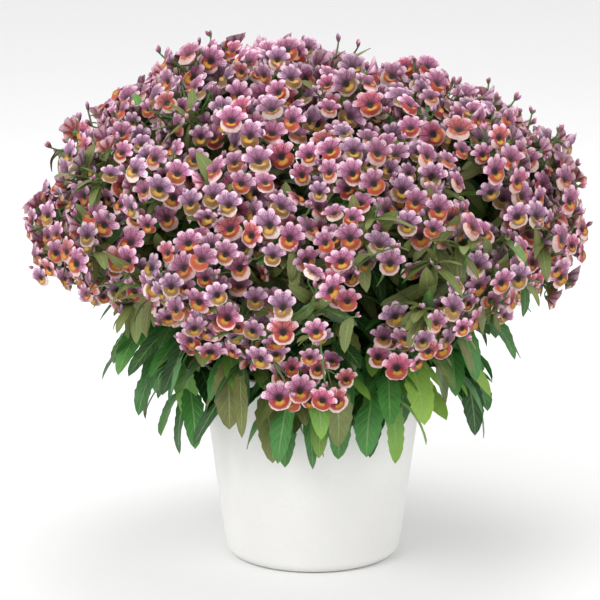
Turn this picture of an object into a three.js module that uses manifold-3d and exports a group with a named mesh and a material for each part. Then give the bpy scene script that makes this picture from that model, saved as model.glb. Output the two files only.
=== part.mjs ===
// Potted nemesia: a dense mound of two-lipped blooms over toothed leaves, in a plain white pot.
// Millimetres, +Z up, the origin at the middle of the pot's flat base, -Y the side it is seen from.

import * as THREE from "three";
import { mergeVertices } from "three/addons/utils/BufferGeometryUtils.js";
import Module from "manifold-3d";

const wasm = await Module();
wasm.setup();

// Pot: a tapered cup with a rounded foot and no separate rim band.
const POT_HEIGHT = 150;
const POT_RIM_RADIUS = 85;
const POT_BASE_RADIUS = 65;
const POT_WALL = 4.5;
const POT_FLOOR = 7;
const POT_SIDES = 32;
const FOOT_ROUNDING = 8;
const LIP_ROUNDING = 2;
const ROUNDING_STEPS = 3;

// Soil: fills the pot to a low crown, with a plain hole for each stem.
const SOIL_EDGE_HEIGHT = 136;
const SOIL_CROWN_HEIGHT = 140;
const FIT_GAP = 0.3;
const SOIL_WALL_GAP = 0.45;
const HOLE_CLEARANCE = 0.6;

// Mound of blooms: widest at one height, crowned above it and drawn in below it.
const MOUND_RADIUS = 203;
const MOUND_WIDEST_HEIGHT = 236;
const MOUND_CROWN_RISE = 148;
const MOUND_SQUARENESS = 0.87;
const MOUND_SIDE_DROP = 40;
const MOUND_FRONT_DROP = 100;
const MOUND_MEAN_DROP = MOUND_SIDE_DROP + 0.375 * (MOUND_FRONT_DROP - MOUND_SIDE_DROP);
const MOUND_MOUTH_RADIUS = 122;
const MOUND_TABLE_STEPS = 96;
// Where the mound stands proud of that plain form, or sinks below it: place, amount and reach.
const SWELLS = [
  { place: [-72, -10, 380], amount: 14, reach: 38 },
  { place: [48, -10, 380], amount: -24, reach: 26 },
  { place: [-205, -20, 250], amount: 9, reach: 34 },
  { place: [-120, -20, 355], amount: -8, reach: 30 },
  { place: [185, -20, 305], amount: 2, reach: 34 },
  { place: [112, 35, 355], amount: -21, reach: 56 },
  { place: [-165, -10, 195], amount: -8, reach: 40 },
  { place: [165, -10, 195], amount: -4, reach: 40 },
  { place: [-192, 0, 300], amount: -9, reach: 24 },
];

// Sprays: each flowering stem forks below the surface into racemes of blooms.
const SPRAY_COUNT = 21;
const RACEMES_PER_SPRAY = 4;
const BLOOMS_PER_RACEME = 4;
const GOLDEN_ANGLE = 137.507764;
const FIRST_SPRAY_AZIMUTH = -90;
const RACEME_OFFSET = 32;
const RACEME_SPACING = 62;
const RACEME_TETHER = 48;
const RACEME_INSET = 25;
const RACEME_INSET_SPREAD = 8;
const RACEME_UPRIGHTNESS = 0.15;
const RACEME_PUSH = 0.25;
const FORK_INSET = 66;
const RACEME_SETTLING_ROUNDS = 80;

// Blooms: four rounded upper lobes, a broad lower lip, a sunken throat and a raised palate.
const BLOOM_RADIUS = 15;
const BLOOM_LEAN = 52;
const BLOOM_LEAN_SPREAD = 7;
const BLOOM_REACH = 28;
const BLOOM_REACH_LEAST = 26.5;
const BLOOM_REACH_MOST = 34;
const BLOOM_SPACING = 30.6;
const BLOOM_SWING = 22;
const BLOOM_PUSH = 0.3;
const BLOOM_FACING = { outward: 0.8, aloft: 0.2, upward: 0.06 };
const TUBE_RADIUS = 8;
const BLOOM_SETTLING_ROUNDS = 60;
// Rim of a bloom, anticlockwise from the top notch: angle from upright, share of radius, share forward.
const BLOOM_RIM = [
  [0, 0.74, -0.1],
  [22, 1, -0.04],
  [45, 0.76, -0.1],
  [72, 1, 0.02],
  [150, 0.98, 0.1],
  [210, 0.98, 0.1],
  [288, 1, 0.02],
  [315, 0.76, -0.1],
  [338, 1, -0.04],
];
const THROAT = { up: 0.06, forward: -0.34 };
const PALATE = { up: -0.36, forward: 0.04 };
const FIRST_LIP_EDGE = 3;
const LAST_LIP_EDGE = 5;

// Raceme core and fork: small four-sided knots whose faces carry the blooms and the branches.
const CORE_WAIST = 4;
const CORE_TIP = 7;
const CORE_TAIL = 6;
const FORK_WAIST = 3;
const FORK_TIP = 4;
const FORK_SHANK = 8;

// Stems are square in section, as nemesia stems are.
const STEM_RADIUS = 2.2;
const STEM_STEPS = 5;
const STEM_SPREAD_AT_SOIL = 44;
const STEM_ROOT_HEIGHT = 122;
const STEM_RISE_SHARE = 0.5;
const STEM_RUN_SHARE = 0.32;

// Leaves: toothed, lanceolate, thin at the edge and thicker at the midrib.
const LEAF_RIB_THICKNESS = 1.3;
const LEAF_CUPPING = 0.16;
const LEAF_WIDTH_SHARE = 0.35;
// One side of a leaf, base to tip, as shares of its length and half width, and its midrib stations.
const SHOOT_LEAF_FORM = {
  edge: [
    [0.24, 0.86],
    [0.47, 1],
    [0.53, 0.8],
    [0.77, 0.52],
  ],
  rib: [0.32, 0.64],
};
const STEM_LEAF_FORM = {
  edge: [
    [0.26, 0.88],
    [0.5, 1],
    [0.57, 0.74],
  ],
  rib: [0.45],
};
// Spheres that stand for a blade where its clearance is judged: share of length, share of half width.
const LEAF_SPHERES = [
  [0.3, 0.8],
  [0.5, 0.9],
  [0.72, 0.6],
  [0.98, 0.2],
];
const LEAF_ROOT_SINK = 1.2;
const LEAF_SWING = 4;
const LEAF_SWING_GROWTH = 2.5;
const LEAF_DROOP_SPREAD = 8;
const LEAF_TRIES = 14;
const LEAF_SHRINK = 0.955;
const LEAF_MARGIN = 1.4;
const POT_MARGIN = 2.5;
// Spheres that stand for a stem, a branch and a shoot in the same way, and a bloom's share of its radius.
const STEM_SPHERES = 24;
const BRANCH_SPHERES = 8;
const SHOOT_SPHERES = 16;
const SHOOT_MARGIN = 1;
const BLOOM_SPHERE_SHARE = 0.9;

// Skirt: leafy shoots round the pot that arch over the rim and hang, in two tiers by turns.
const SHOOT_COUNT = 16;
const SHOOT_RADIUS = 1.7;
const SHOOT_STEPS = 5;
const SHOOT_ROOT_HEIGHT = 125;
const SHOOT_SIDE_REACH = 0.13;
// Bezier points of a shoot as [distance from the axis, height], for the upper and the lower tier.
const SHOOT_TIERS = [
  [
    [55, SHOOT_ROOT_HEIGHT],
    [56, 188],
    [84, 208],
    [114, 178],
  ],
  [
    [64, SHOOT_ROOT_HEIGHT],
    [64, 174],
    [90, 178],
    [104, 141],
  ],
];
// How a shoot carries its leaf pairs and its end leaf: angles in degrees, places as shares of its path.
const SHOOT_LEAVES = {
  places: [0.6, 0.8, 0.985],
  turns: [0, 0, 0],
  splays: [78, 62, 44],
  length: 50,
  droop: 48,
  lift: 12,
};
const SHOOT_END_LEAF = { splay: 0, length: 50, droop: 24, lift: 4 };
// A shoot whose place is taken turns aside by these degrees, and then reaches less far.
const SHOOT_NUDGES = [0, 2, -2, 4, -4, 6, -6, 8, -8, 10, -10];
const SHOOT_REACHES = [1, 0.92, 0.84, 0.76];

// Leaves among the flowering stems, in opposite pairs under the blooms.
const STEM_LEAVES = {
  places: [0.8, 0.6],
  turns: [40, 130],
  splays: [62, 62],
  length: 36,
  droop: 28,
  lift: 0,
};
// The stems nearest the middle carry only the upper pair.
const CROWN_STEM_COUNT = 13;

const RANDOM_SEED = 20617;

const UP = new THREE.Vector3(0, 0, 1);

const POT_FINISH = new THREE.MeshStandardMaterial({ color: "#f0efec", roughness: 0.62, metalness: 0 });
const SOIL_FINISH = new THREE.MeshStandardMaterial({ color: "#2b211b", roughness: 0.95, metalness: 0 });
const STEM_FINISH = new THREE.MeshStandardMaterial({ color: "#4c7437", roughness: 0.6, metalness: 0 });
const LEAF_FINISH = new THREE.MeshStandardMaterial({ color: "#3f7a3a", roughness: 0.55, metalness: 0 });
const BLOOM_FINISH = new THREE.MeshStandardMaterial({ color: "#b0708f", roughness: 0.6, metalness: 0 });

// Seeded draws, so that the plant grows the same way every time.
let seed = RANDOM_SEED;

function draw() {
  seed = (seed * 1664525 + 1013904223) % 4294967296;
  return seed / 4294967296;
}

function drawAround(middle, spread) {
  return middle + (2 * draw() - 1) * spread;
}

function radians(degrees) {
  return (degrees * Math.PI) / 180;
}

// Closed surfaces built facet by facet.
class Facets {
  constructor() {
    this.points = [];
    this.triangles = [];
  }

  point(place) {
    this.points.push(place.x, place.y, place.z);
    return this.points.length / 3 - 1;
  }

  place(index) {
    return new THREE.Vector3().fromArray(this.points, index * 3);
  }

  middle(corners) {
    const sum = corners.reduce((total, index) => total.add(this.place(index)), new THREE.Vector3());
    return sum.divideScalar(corners.length);
  }

  triangle(a, b, c) {
    this.triangles.push(a, b, c);
  }

  // Fills between a rim and a ring of inner points; edgeInner names the inner point of each rim edge.
  web(rim, inner, edgeInner, facingBack) {
    const put = (a, b, c) => (facingBack ? this.triangle(c, b, a) : this.triangle(a, b, c));
    rim.forEach((corner, i) => {
      const previous = edgeInner[(i + rim.length - 1) % rim.length];
      for (let v = previous; v !== edgeInner[i]; v = (v + 1) % inner.length) {
        put(corner, inner[(v + 1) % inner.length], inner[v]);
      }
      put(corner, rim[(i + 1) % rim.length], inner[edgeInner[i]]);
    });
  }

  // How far a triangle faces away from a place inside, as six times the volume between them.
  facingFrom(inside, corners) {
    const [a, b, c] = corners.map((index) => this.place(index).sub(inside));
    return a.dot(b.cross(c));
  }

  // Joins two facing triangles by a three-sided branch, in the turn whose sides face out the most.
  branch(from, to) {
    const inside = this.middle([...from, ...to]);
    const score = (triangles) => Math.min(...triangles.map((corners) => this.facingFrom(inside, corners)));
    const better = (best, sides) => (score(sides) > score(best) ? sides : best);
    const reversed = [to[0], to[2], to[1]];
    const turns = [0, 1, 2].map((turn) =>
      [0, 1, 2].flatMap((i) => {
        const near = [from[i], from[(i + 1) % 3]];
        const far = [reversed[(i + turn) % 3], reversed[(i + 1 + turn) % 3]];
        return [
          [[near[0], near[1], far[1]], [near[0], far[1], far[0]]],
          [[near[0], near[1], far[0]], [near[1], far[1], far[0]]],
        ].reduce(better);
      }),
    );
    turns.reduce(better).forEach((corners) => this.triangle(...corners));
  }

  geometry() {
    const geometry = new THREE.BufferGeometry();
    geometry.setAttribute("position", new THREE.Float32BufferAttribute(this.points, 3));
    geometry.setIndex(this.triangles);
    return geometry;
  }
}

// Joins and cuts between closed geometries.
function solidOf(geometry) {
  const bare = geometry.clone();
  bare.deleteAttribute("normal");
  bare.deleteAttribute("uv");
  const merged = mergeVertices(bare, 1e-3);
  const mesh = new wasm.Mesh({
    numProp: 3,
    vertProperties: merged.attributes.position.array,
    triVerts: new Uint32Array(merged.index.array),
  });
  return new wasm.Manifold(mesh);
}

function geometryOf(solid) {
  const mesh = solid.getMesh();
  const geometry = new THREE.BufferGeometry();
  geometry.setAttribute("position", new THREE.Float32BufferAttribute(mesh.vertProperties, 3));
  geometry.setIndex(Array.from(mesh.triVerts));
  return geometry;
}

function joined(geometries) {
  const [first, ...others] = geometries.map(solidOf);
  return others.reduce((whole, solid) => whole.add(solid), first);
}

// The mound's surface. Theta runs from its top down past its widest ring, phi round the axis.
function power(value, exponent) {
  return Math.max(value, 0) ** exponent;
}

function bellyDrop(phi) {
  return MOUND_SIDE_DROP + (MOUND_FRONT_DROP - MOUND_SIDE_DROP) * Math.sin(phi) ** 4;
}

function moundProfile(theta, belly) {
  const cosine = Math.cos(theta);
  if (cosine > 0) {
    return {
      radius: MOUND_RADIUS * power(Math.sin(theta), MOUND_SQUARENESS),
      height: MOUND_WIDEST_HEIGHT + MOUND_CROWN_RISE * power(cosine, MOUND_SQUARENESS),
    };
  }
  return { radius: MOUND_RADIUS * Math.sin(theta), height: MOUND_WIDEST_HEIGHT + belly * cosine };
}

const MOUTH_THETA = Math.PI - Math.asin(MOUND_MOUTH_RADIUS / MOUND_RADIUS);

function moundPoint(theta, phi) {
  const { radius, height } = moundProfile(theta, bellyDrop(phi));
  return new THREE.Vector3(radius * Math.cos(phi), radius * Math.sin(phi), height);
}

function moundNormal(theta, phi) {
  const step = 1e-3;
  const before = moundProfile(Math.max(theta - step, 0), bellyDrop(phi));
  const after = moundProfile(theta + step, bellyDrop(phi));
  const outward = before.height - after.height;
  const upward = after.radius - before.radius;
  return new THREE.Vector3(outward * Math.cos(phi), outward * Math.sin(phi), upward).normalize();
}

// Where the ray from the focus through a place leaves the plain mound.
function moundAngles(place) {
  const phi = Math.atan2(place.y, place.x);
  const across = Math.hypot(place.x, place.y) / MOUND_RADIUS;
  const above = place.z - MOUND_WIDEST_HEIGHT;
  if (above > 0) {
    const sine = power(across, 1 / MOUND_SQUARENESS);
    const cosine = power(above / MOUND_CROWN_RISE, 1 / MOUND_SQUARENESS);
    return { theta: Math.atan2(sine, cosine), phi };
  }
  const theta = Math.atan2(across, above / bellyDrop(phi));
  return { theta: Math.min(theta, MOUTH_THETA), phi };
}

// Theta at which the mound above it holds the given share of the mound's area.
function thetaOfShare(share) {
  const areas = [0];
  for (let i = 1; i <= MOUND_TABLE_STEPS; i += 1) {
    const upper = moundProfile((MOUTH_THETA * (i - 1)) / MOUND_TABLE_STEPS, MOUND_MEAN_DROP);
    const lower = moundProfile((MOUTH_THETA * i) / MOUND_TABLE_STEPS, MOUND_MEAN_DROP);
    const slant = Math.hypot(lower.radius - upper.radius, lower.height - upper.height);
    areas.push(areas[i - 1] + (slant * (upper.radius + lower.radius)) / 2);
  }
  const wanted = share * areas[MOUND_TABLE_STEPS];
  const i = areas.findIndex((area) => area >= wanted);
  const part = (wanted - areas[i - 1]) / (areas[i] - areas[i - 1]);
  return (MOUTH_THETA * (i - 1 + part)) / MOUND_TABLE_STEPS;
}

// A place under the surface, after the swells have moved it.
function sunkFrom(theta, phi, inset) {
  const surface = moundPoint(theta, phi);
  const normal = moundNormal(theta, phi);
  const swell = SWELLS.reduce((sum, { place, amount, reach }) => {
    const away = surface.distanceTo(new THREE.Vector3(...place)) / reach;
    return sum + amount * Math.exp((-away * away) / 2);
  }, 0);
  return surface.addScaledVector(normal, swell - inset);
}

// Two directions square to an axis, the first one level where it can be.
function crossAxes(axis) {
  const level = new THREE.Vector3().crossVectors(UP, axis);
  const right = level.length() < 1e-3 ? new THREE.Vector3(1, 0, 0) : level.normalize();
  return { right, over: new THREE.Vector3().crossVectors(axis, right) };
}

function around(axis, lean, turn) {
  const { right, over } = crossAxes(axis);
  return new THREE.Vector3()
    .addScaledVector(axis, Math.cos(lean))
    .addScaledVector(right, Math.sin(lean) * Math.cos(turn))
    .addScaledVector(over, Math.sin(lean) * Math.sin(turn));
}

// Moves places apart until none of the pairs lies closer than the spacing; all pushes are found first.
function pushApart(places, spacing, stiffness) {
  const pushes = places.map(() => new THREE.Vector3());
  for (let i = 0; i < places.length; i += 1) {
    for (let j = i + 1; j < places.length; j += 1) {
      const gap = new THREE.Vector3().subVectors(places[i], places[j]);
      const distance = gap.length();
      if (distance < spacing) {
        gap.multiplyScalar((stiffness * (spacing - distance)) / distance);
        pushes[i].add(gap);
        pushes[j].sub(gap);
      }
    }
  }
  places.forEach((place, i) => place.add(pushes[i]));
}

// Sprays spiral down the mound at equal areas; their racemes spread out until they lie evenly.
function placeSprays() {
  const sprays = [];
  for (let k = 0; k < SPRAY_COUNT; k += 1) {
    const share = (k + 0.5) / SPRAY_COUNT;
    const theta = thetaOfShare(share);
    const phi = radians(FIRST_SPRAY_AZIMUTH + k * GOLDEN_ANGLE);
    const turn = draw() * Math.PI;
    sprays.push({ share, theta, phi, turn, middle: moundPoint(theta, phi) });
  }
  return sprays;
}

function placeRacemes(sprays) {
  const homes = [];
  const places = [];
  sprays.forEach((spray) => {
    const normal = moundNormal(spray.theta, spray.phi);
    for (let j = 0; j < RACEMES_PER_SPRAY; j += 1) {
      const turn = spray.turn + (2 * Math.PI * j) / RACEMES_PER_SPRAY;
      const offset = around(normal, Math.PI / 2, turn).multiplyScalar(RACEME_OFFSET);
      homes.push(spray);
      places.push(offset.add(spray.middle));
    }
  });
  for (let round = 0; round < RACEME_SETTLING_ROUNDS; round += 1) {
    pushApart(places, RACEME_SPACING, RACEME_PUSH);
    places.forEach((place, i) => {
      const away = new THREE.Vector3().subVectors(place, homes[i].middle);
      place.copy(homes[i].middle).add(away.clampLength(0, RACEME_TETHER));
      const { theta, phi } = moundAngles(place);
      place.copy(moundPoint(theta, phi));
    });
  }
  return places.map((place, i) => {
    const { theta, phi } = moundAngles(place);
    const inset = drawAround(RACEME_INSET, RACEME_INSET_SPREAD);
    const normal = moundNormal(theta, phi);
    const axis = normal.clone().addScaledVector(UP, RACEME_UPRIGHTNESS).normalize();
    return { spray: homes[i], axis, normal, centre: sunkFrom(theta, phi, inset), turn: draw() * Math.PI };
  });
}

// Blooms stand round their raceme; they are pushed apart until their rims and tubes lie clear.
function placeBlooms(racemes) {
  const blooms = [];
  racemes.forEach((raceme) => {
    for (let j = 0; j < BLOOMS_PER_RACEME; j += 1) {
      const lean = radians(drawAround(BLOOM_LEAN, BLOOM_LEAN_SPREAD));
      const turn = raceme.turn + (2 * Math.PI * j) / BLOOMS_PER_RACEME;
      const home = around(raceme.axis, lean, turn);
      blooms.push({ raceme, home, centre: home.clone().multiplyScalar(BLOOM_REACH).add(raceme.centre) });
    }
  });
  for (let round = 0; round < BLOOM_SETTLING_ROUNDS; round += 1) {
    pushApart(blooms.map((bloom) => bloom.centre), BLOOM_SPACING, BLOOM_PUSH);
    pushTubesClear(blooms);
    blooms.forEach(({ raceme, home, centre }) => {
      const away = new THREE.Vector3().subVectors(centre, raceme.centre);
      const reach = THREE.MathUtils.clamp(away.length(), BLOOM_REACH_LEAST, BLOOM_REACH_MOST);
      const swing = Math.min(away.angleTo(home), radians(BLOOM_SWING));
      const aside = away.clone().addScaledVector(home, -away.dot(home)).normalize();
      away.copy(home).multiplyScalar(Math.cos(swing)).addScaledVector(aside, Math.sin(swing));
      centre.copy(raceme.centre).addScaledVector(away, reach);
    });
  }
  blooms.forEach((bloom) => {
    const outward = new THREE.Vector3().subVectors(bloom.centre, bloom.raceme.centre).normalize();
    bloom.facing = outward.multiplyScalar(BLOOM_FACING.outward);
    bloom.facing.addScaledVector(bloom.raceme.normal, BLOOM_FACING.aloft);
    bloom.facing.addScaledVector(UP, BLOOM_FACING.upward).normalize();
  });
  return blooms;
}

function pushTubesClear(blooms) {
  const pushes = blooms.map(() => new THREE.Vector3());
  const tubes = blooms.map(({ raceme, centre }) => raceme.centre.clone().add(centre).multiplyScalar(0.5));
  const least = BLOOM_RADIUS + TUBE_RADIUS;
  blooms.forEach((bloom, i) => {
    blooms.forEach((other, j) => {
      const gap = new THREE.Vector3().subVectors(bloom.centre, tubes[j]);
      const distance = gap.length();
      if (other.raceme !== bloom.raceme && distance < least) {
        gap.multiplyScalar((BLOOM_PUSH * (least - distance)) / distance);
        pushes[i].add(gap);
        pushes[j].sub(gap);
      }
    });
  });
  blooms.forEach(({ centre }, i) => centre.add(pushes[i]));
}

// One bloom: a lobed front round a throat and a palate, and a back that narrows to a face of its core.
function addBloom(facets, bloom, foot) {
  const { right, over } = crossAxes(bloom.facing);
  const at = (sideways, upward, forward) =>
    facets.point(
      bloom.centre
        .clone()
        .addScaledVector(right, BLOOM_RADIUS * sideways)
        .addScaledVector(over, BLOOM_RADIUS * upward)
        .addScaledVector(bloom.facing, BLOOM_RADIUS * forward),
    );
  const rim = BLOOM_RIM.map(([angle, share, forward]) =>
    at(-share * Math.sin(radians(angle)), share * Math.cos(radians(angle)), forward),
  );
  const front = [at(0, THROAT.up, THROAT.forward), at(0, PALATE.up, PALATE.forward)];
  const frontEdges = rim.map((_, i) => (i >= FIRST_LIP_EDGE && i <= LAST_LIP_EDGE ? 1 : 0));
  facets.web(rim, front, frontEdges, false);
  const footMiddle = facets.middle(foot);
  const footAngles = foot.map((index) => {
    const away = facets.place(index).sub(footMiddle);
    return Math.atan2(-away.dot(right), away.dot(over));
  });
  const backEdges = BLOOM_RIM.map(([angle], i) => {
    const next = BLOOM_RIM[(i + 1) % BLOOM_RIM.length][0] || 360;
    const middle = radians((angle + next) / 2);
    const nearness = footAngles.map((footAngle) => Math.cos(footAngle - middle));
    return nearness.indexOf(Math.max(...nearness));
  });
  facets.web(rim, foot, backEdges, true);
}

// Faces of a four-sided knot that point along its axis, anticlockwise, and those that point back.
function addKnot(facets, centre, axis, turn, waist, tip, tail) {
  const top = facets.point(centre.clone().addScaledVector(axis, tip));
  const bottom = facets.point(centre.clone().addScaledVector(axis, -tail));
  const ring = [0, 1, 2, 3].map((i) => {
    const outward = around(axis, Math.PI / 2, turn + ((i + 0.5) * Math.PI) / 2);
    return facets.point(outward.multiplyScalar(waist).add(centre));
  });
  const upper = ring.map((corner, i) => [top, ring[(i + 3) % 4], corner]);
  const lower = ring.map((corner, i) => [bottom, corner, ring[(i + 3) % 4]]);
  return { upper, lower };
}

function addFork(facets, centre, axis, turn) {
  const top = facets.point(centre.clone().addScaledVector(axis, FORK_TIP));
  const ringAt = (radius, back) =>
    [0, 1, 2, 3].map((i) =>
      facets.point(
        around(axis, Math.PI / 2, turn + ((i + 0.5) * Math.PI) / 2)
          .multiplyScalar(radius)
          .addScaledVector(axis, -back)
          .add(centre),
      ),
    );
  const ring = ringAt(FORK_WAIST, 0);
  const shank = ringAt(STEM_RADIUS, FORK_SHANK);
  ring.forEach((corner, i) => {
    const next = (i + 1) % 4;
    facets.triangle(shank[i], shank[next], ring[next]);
    facets.triangle(shank[i], ring[next], corner);
  });
  facets.triangle(shank[0], shank[2], shank[1]);
  facets.triangle(shank[0], shank[3], shank[2]);
  return ring.map((corner, i) => [top, ring[(i + 3) % 4], corner]);
}

// The fork of a spray looks towards the middle of its racemes.
function setFork(spray, racemes) {
  const fork = sunkFrom(spray.theta, spray.phi, FORK_INSET);
  const aim = racemes.reduce((sum, { centre }) => sum.add(centre), new THREE.Vector3());
  const axis = aim.divideScalar(racemes.length).sub(fork).normalize();
  const { right, over } = crossAxes(axis);
  const turnOf = ({ centre }) => {
    const away = centre.clone().sub(fork);
    return Math.atan2(away.dot(over), away.dot(right));
  };
  const ordered = [...racemes].sort((a, b) => turnOf(a) - turnOf(b));
  const drift = ordered.reduce((sum, raceme, i) => sum + turnOf(raceme) - (i * Math.PI) / 2, 0);
  return { fork, axis, turn: drift / ordered.length, ordered };
}

function sprayGeometry(spray) {
  const facets = new Facets();
  const sockets = addFork(facets, spray.fork, spray.axis, spray.forkTurn);
  spray.racemes.forEach((raceme, i) => {
    const core = addKnot(facets, raceme.centre, raceme.axis, raceme.turn, CORE_WAIST, CORE_TIP, CORE_TAIL);
    const towardsFork = new THREE.Vector3().subVectors(spray.fork, raceme.centre);
    const nearness = core.lower.map((face) => facets.middle(face).sub(raceme.centre).dot(towardsFork));
    const carried = nearness.indexOf(Math.max(...nearness));
    core.lower.forEach((face, j) => {
      if (j !== carried) facets.triangle(...face);
    });
    facets.branch(core.lower[carried], sockets[i]);
    raceme.blooms.forEach((bloom, j) => addBloom(facets, bloom, core.upper[j]));
  });
  return facets.geometry();
}

// A square stem along a curve.
function stemGeometry(path, radius, steps) {
  const section = new THREE.Shape([
    new THREE.Vector2(radius, 0),
    new THREE.Vector2(0, radius),
    new THREE.Vector2(-radius, 0),
    new THREE.Vector2(0, -radius),
  ]);
  return new THREE.ExtrudeGeometry(section, { steps, bevelEnabled: false, extrudePath: path });
}

// A flowering stem rises from the soil and bends outwards to the foot of its fork.
function stemPath(spray) {
  const spread = STEM_SPREAD_AT_SOIL * Math.sqrt(spray.share);
  const root = around(UP, Math.PI / 2, spray.phi).multiplyScalar(spread).setZ(STEM_ROOT_HEIGHT);
  const end = spray.fork.clone().addScaledVector(spray.axis, -FORK_SHANK - FIT_GAP);
  const rise = (end.z - root.z) * STEM_RISE_SHARE;
  const run = end.distanceTo(root) * STEM_RUN_SHARE;
  return new THREE.CubicBezierCurve3(
    root,
    root.clone().addScaledVector(UP, rise),
    end.clone().addScaledVector(spray.axis, -run),
    end,
  );
}

function shootPath(tier, azimuth, share) {
  const phi = radians(azimuth);
  const stretch = share * (1 + SHOOT_SIDE_REACH * Math.cos(2 * phi));
  const points = SHOOT_TIERS[tier].map(([distance, height], i) => {
    const reach = i < 2 ? distance : distance * stretch;
    return new THREE.Vector3(reach * Math.cos(phi), reach * Math.sin(phi), height);
  });
  return new THREE.CubicBezierCurve3(...points);
}

// What is already placed, as spheres, so that shoots and leaves can be bent clear of it.
const placed = [];

function spheresAlong(path, radius, count) {
  return path.getSpacedPoints(count).map((centre) => ({ centre, radius }));
}

function isClear(spheres, owner, margin) {
  return spheres.every(({ centre, radius }) =>
    placed.every(
      (other) => other.owner === owner || other.centre.distanceTo(centre) > other.radius + radius + margin,
    ),
  );
}

function occupy(spheres, owner) {
  spheres.forEach((sphere) => placed.push({ ...sphere, owner }));
}

// A leaf's midrib bends evenly downwards from its base; the spheres stand for its blade.
function leafPlaceAt(leaf, share) {
  const bend = leaf.droop * share;
  const forward = (leaf.length * Math.sin(bend)) / leaf.droop;
  const down = (leaf.length * (1 - Math.cos(bend))) / leaf.droop;
  return leaf.base.clone().addScaledVector(leaf.forward, forward).addScaledVector(leaf.normal, -down);
}

function leafNormalAt(leaf, share) {
  const bend = leaf.droop * share;
  return leaf.normal.clone().multiplyScalar(Math.cos(bend)).addScaledVector(leaf.forward, Math.sin(bend));
}

function leafSpheres(leaf) {
  const half = (leaf.length * LEAF_WIDTH_SHARE) / 2;
  return LEAF_SPHERES.map(([share, width]) => ({ centre: leafPlaceAt(leaf, share), radius: half * width }));
}

function leafGeometry(leaf, { edge, rib }) {
  const facets = new Facets();
  const side = new THREE.Vector3().crossVectors(leaf.normal, leaf.forward);
  const half = (leaf.length * LEAF_WIDTH_SHARE) / 2;
  const edgePoint = ([share, width], sign) =>
    facets.point(
      leafPlaceAt(leaf, share)
        .addScaledVector(side, sign * half * width)
        .addScaledVector(leafNormalAt(leaf, share), LEAF_CUPPING * half * width),
    );
  const base = facets.point(leaf.base.clone().addScaledVector(leaf.forward, -LEAF_ROOT_SINK));
  const rightEdge = edge.map((station) => edgePoint(station, -1));
  const tip = facets.point(leafPlaceAt(leaf, 1));
  const leftEdge = [...edge].reverse().map((station) => edgePoint(station, 1));
  const outline = [base, ...rightEdge, tip, ...leftEdge];
  const nearBase = Math.ceil(edge.length / 2);
  const farther = (i) => rib.length > 1 && i >= nearBase && i < outline.length - nearBase;
  const edgeInner = outline.map((_, i) => (farther(i) ? 1 : 0));
  [1, -1].forEach((sign) => {
    const ribs = rib.map((share) =>
      facets.point(
        leafPlaceAt(leaf, share).addScaledVector(leafNormalAt(leaf, share), (sign * LEAF_RIB_THICKNESS) / 2),
      ),
    );
    facets.web(outline, ribs, edgeInner, sign < 0);
  });
  return facets.geometry();
}

// Tries a leaf at its place, then turned, drooped and shortened by turns until it lies clear.
function fitLeaf(owner, base, along, sideways, { splay, length, droop, lift }) {
  for (let attempt = 0; attempt < LEAF_TRIES; attempt += 1) {
    const swing = radians(drawAround(splay, LEAF_SWING + LEAF_SWING_GROWTH * attempt));
    const tilt = radians(drawAround(lift, LEAF_SWING + LEAF_SWING_GROWTH * attempt));
    const level = along.clone().multiplyScalar(Math.cos(swing)).addScaledVector(sideways, Math.sin(swing));
    const across = new THREE.Vector3().crossVectors(level, UP).normalize();
    const square = new THREE.Vector3().crossVectors(across, level).normalize();
    const forward = level.normalize().multiplyScalar(Math.cos(tilt)).addScaledVector(square, Math.sin(tilt));
    const normal = new THREE.Vector3().crossVectors(across, forward).normalize();
    const size = length * LEAF_SHRINK ** attempt;
    const bend = radians(drawAround(droop, LEAF_DROOP_SPREAD));
    const leaf = { base, forward, normal, length: size, droop: bend };
    const spheres = leafSpheres(leaf);
    if (isClear(spheres, owner, LEAF_MARGIN) && spheres.every(clearOfPot)) {
      occupy(spheres, owner);
      return leaf;
    }
  }
  return null;
}

function clearOfPot({ centre, radius }) {
  const distance = Math.hypot(centre.x, centre.y);
  const wall = POT_BASE_RADIUS + ((POT_RIM_RADIUS - POT_BASE_RADIUS) * centre.z) / POT_HEIGHT;
  return centre.z > POT_HEIGHT + radius + POT_MARGIN || distance > wall + radius / 2 + POT_MARGIN;
}

// Pairs of leaves along a path, one each side of it, each pair turned from the pair before.
function leavesAlong(owner, path, habit) {
  const leaves = [];
  habit.places.forEach((place, i) => {
    const along = path.getTangentAt(place);
    const quarter = around(along, Math.PI / 2, radians(habit.turns[i]));
    [1, -1].forEach((sign) => {
      const sideways = quarter.clone().multiplyScalar(sign);
      const leaf = { ...habit, splay: habit.splays[i] };
      leaves.push(fitLeaf(owner, path.getPointAt(place), along, sideways, leaf));
    });
  });
  return leaves.filter(Boolean);
}

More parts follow.
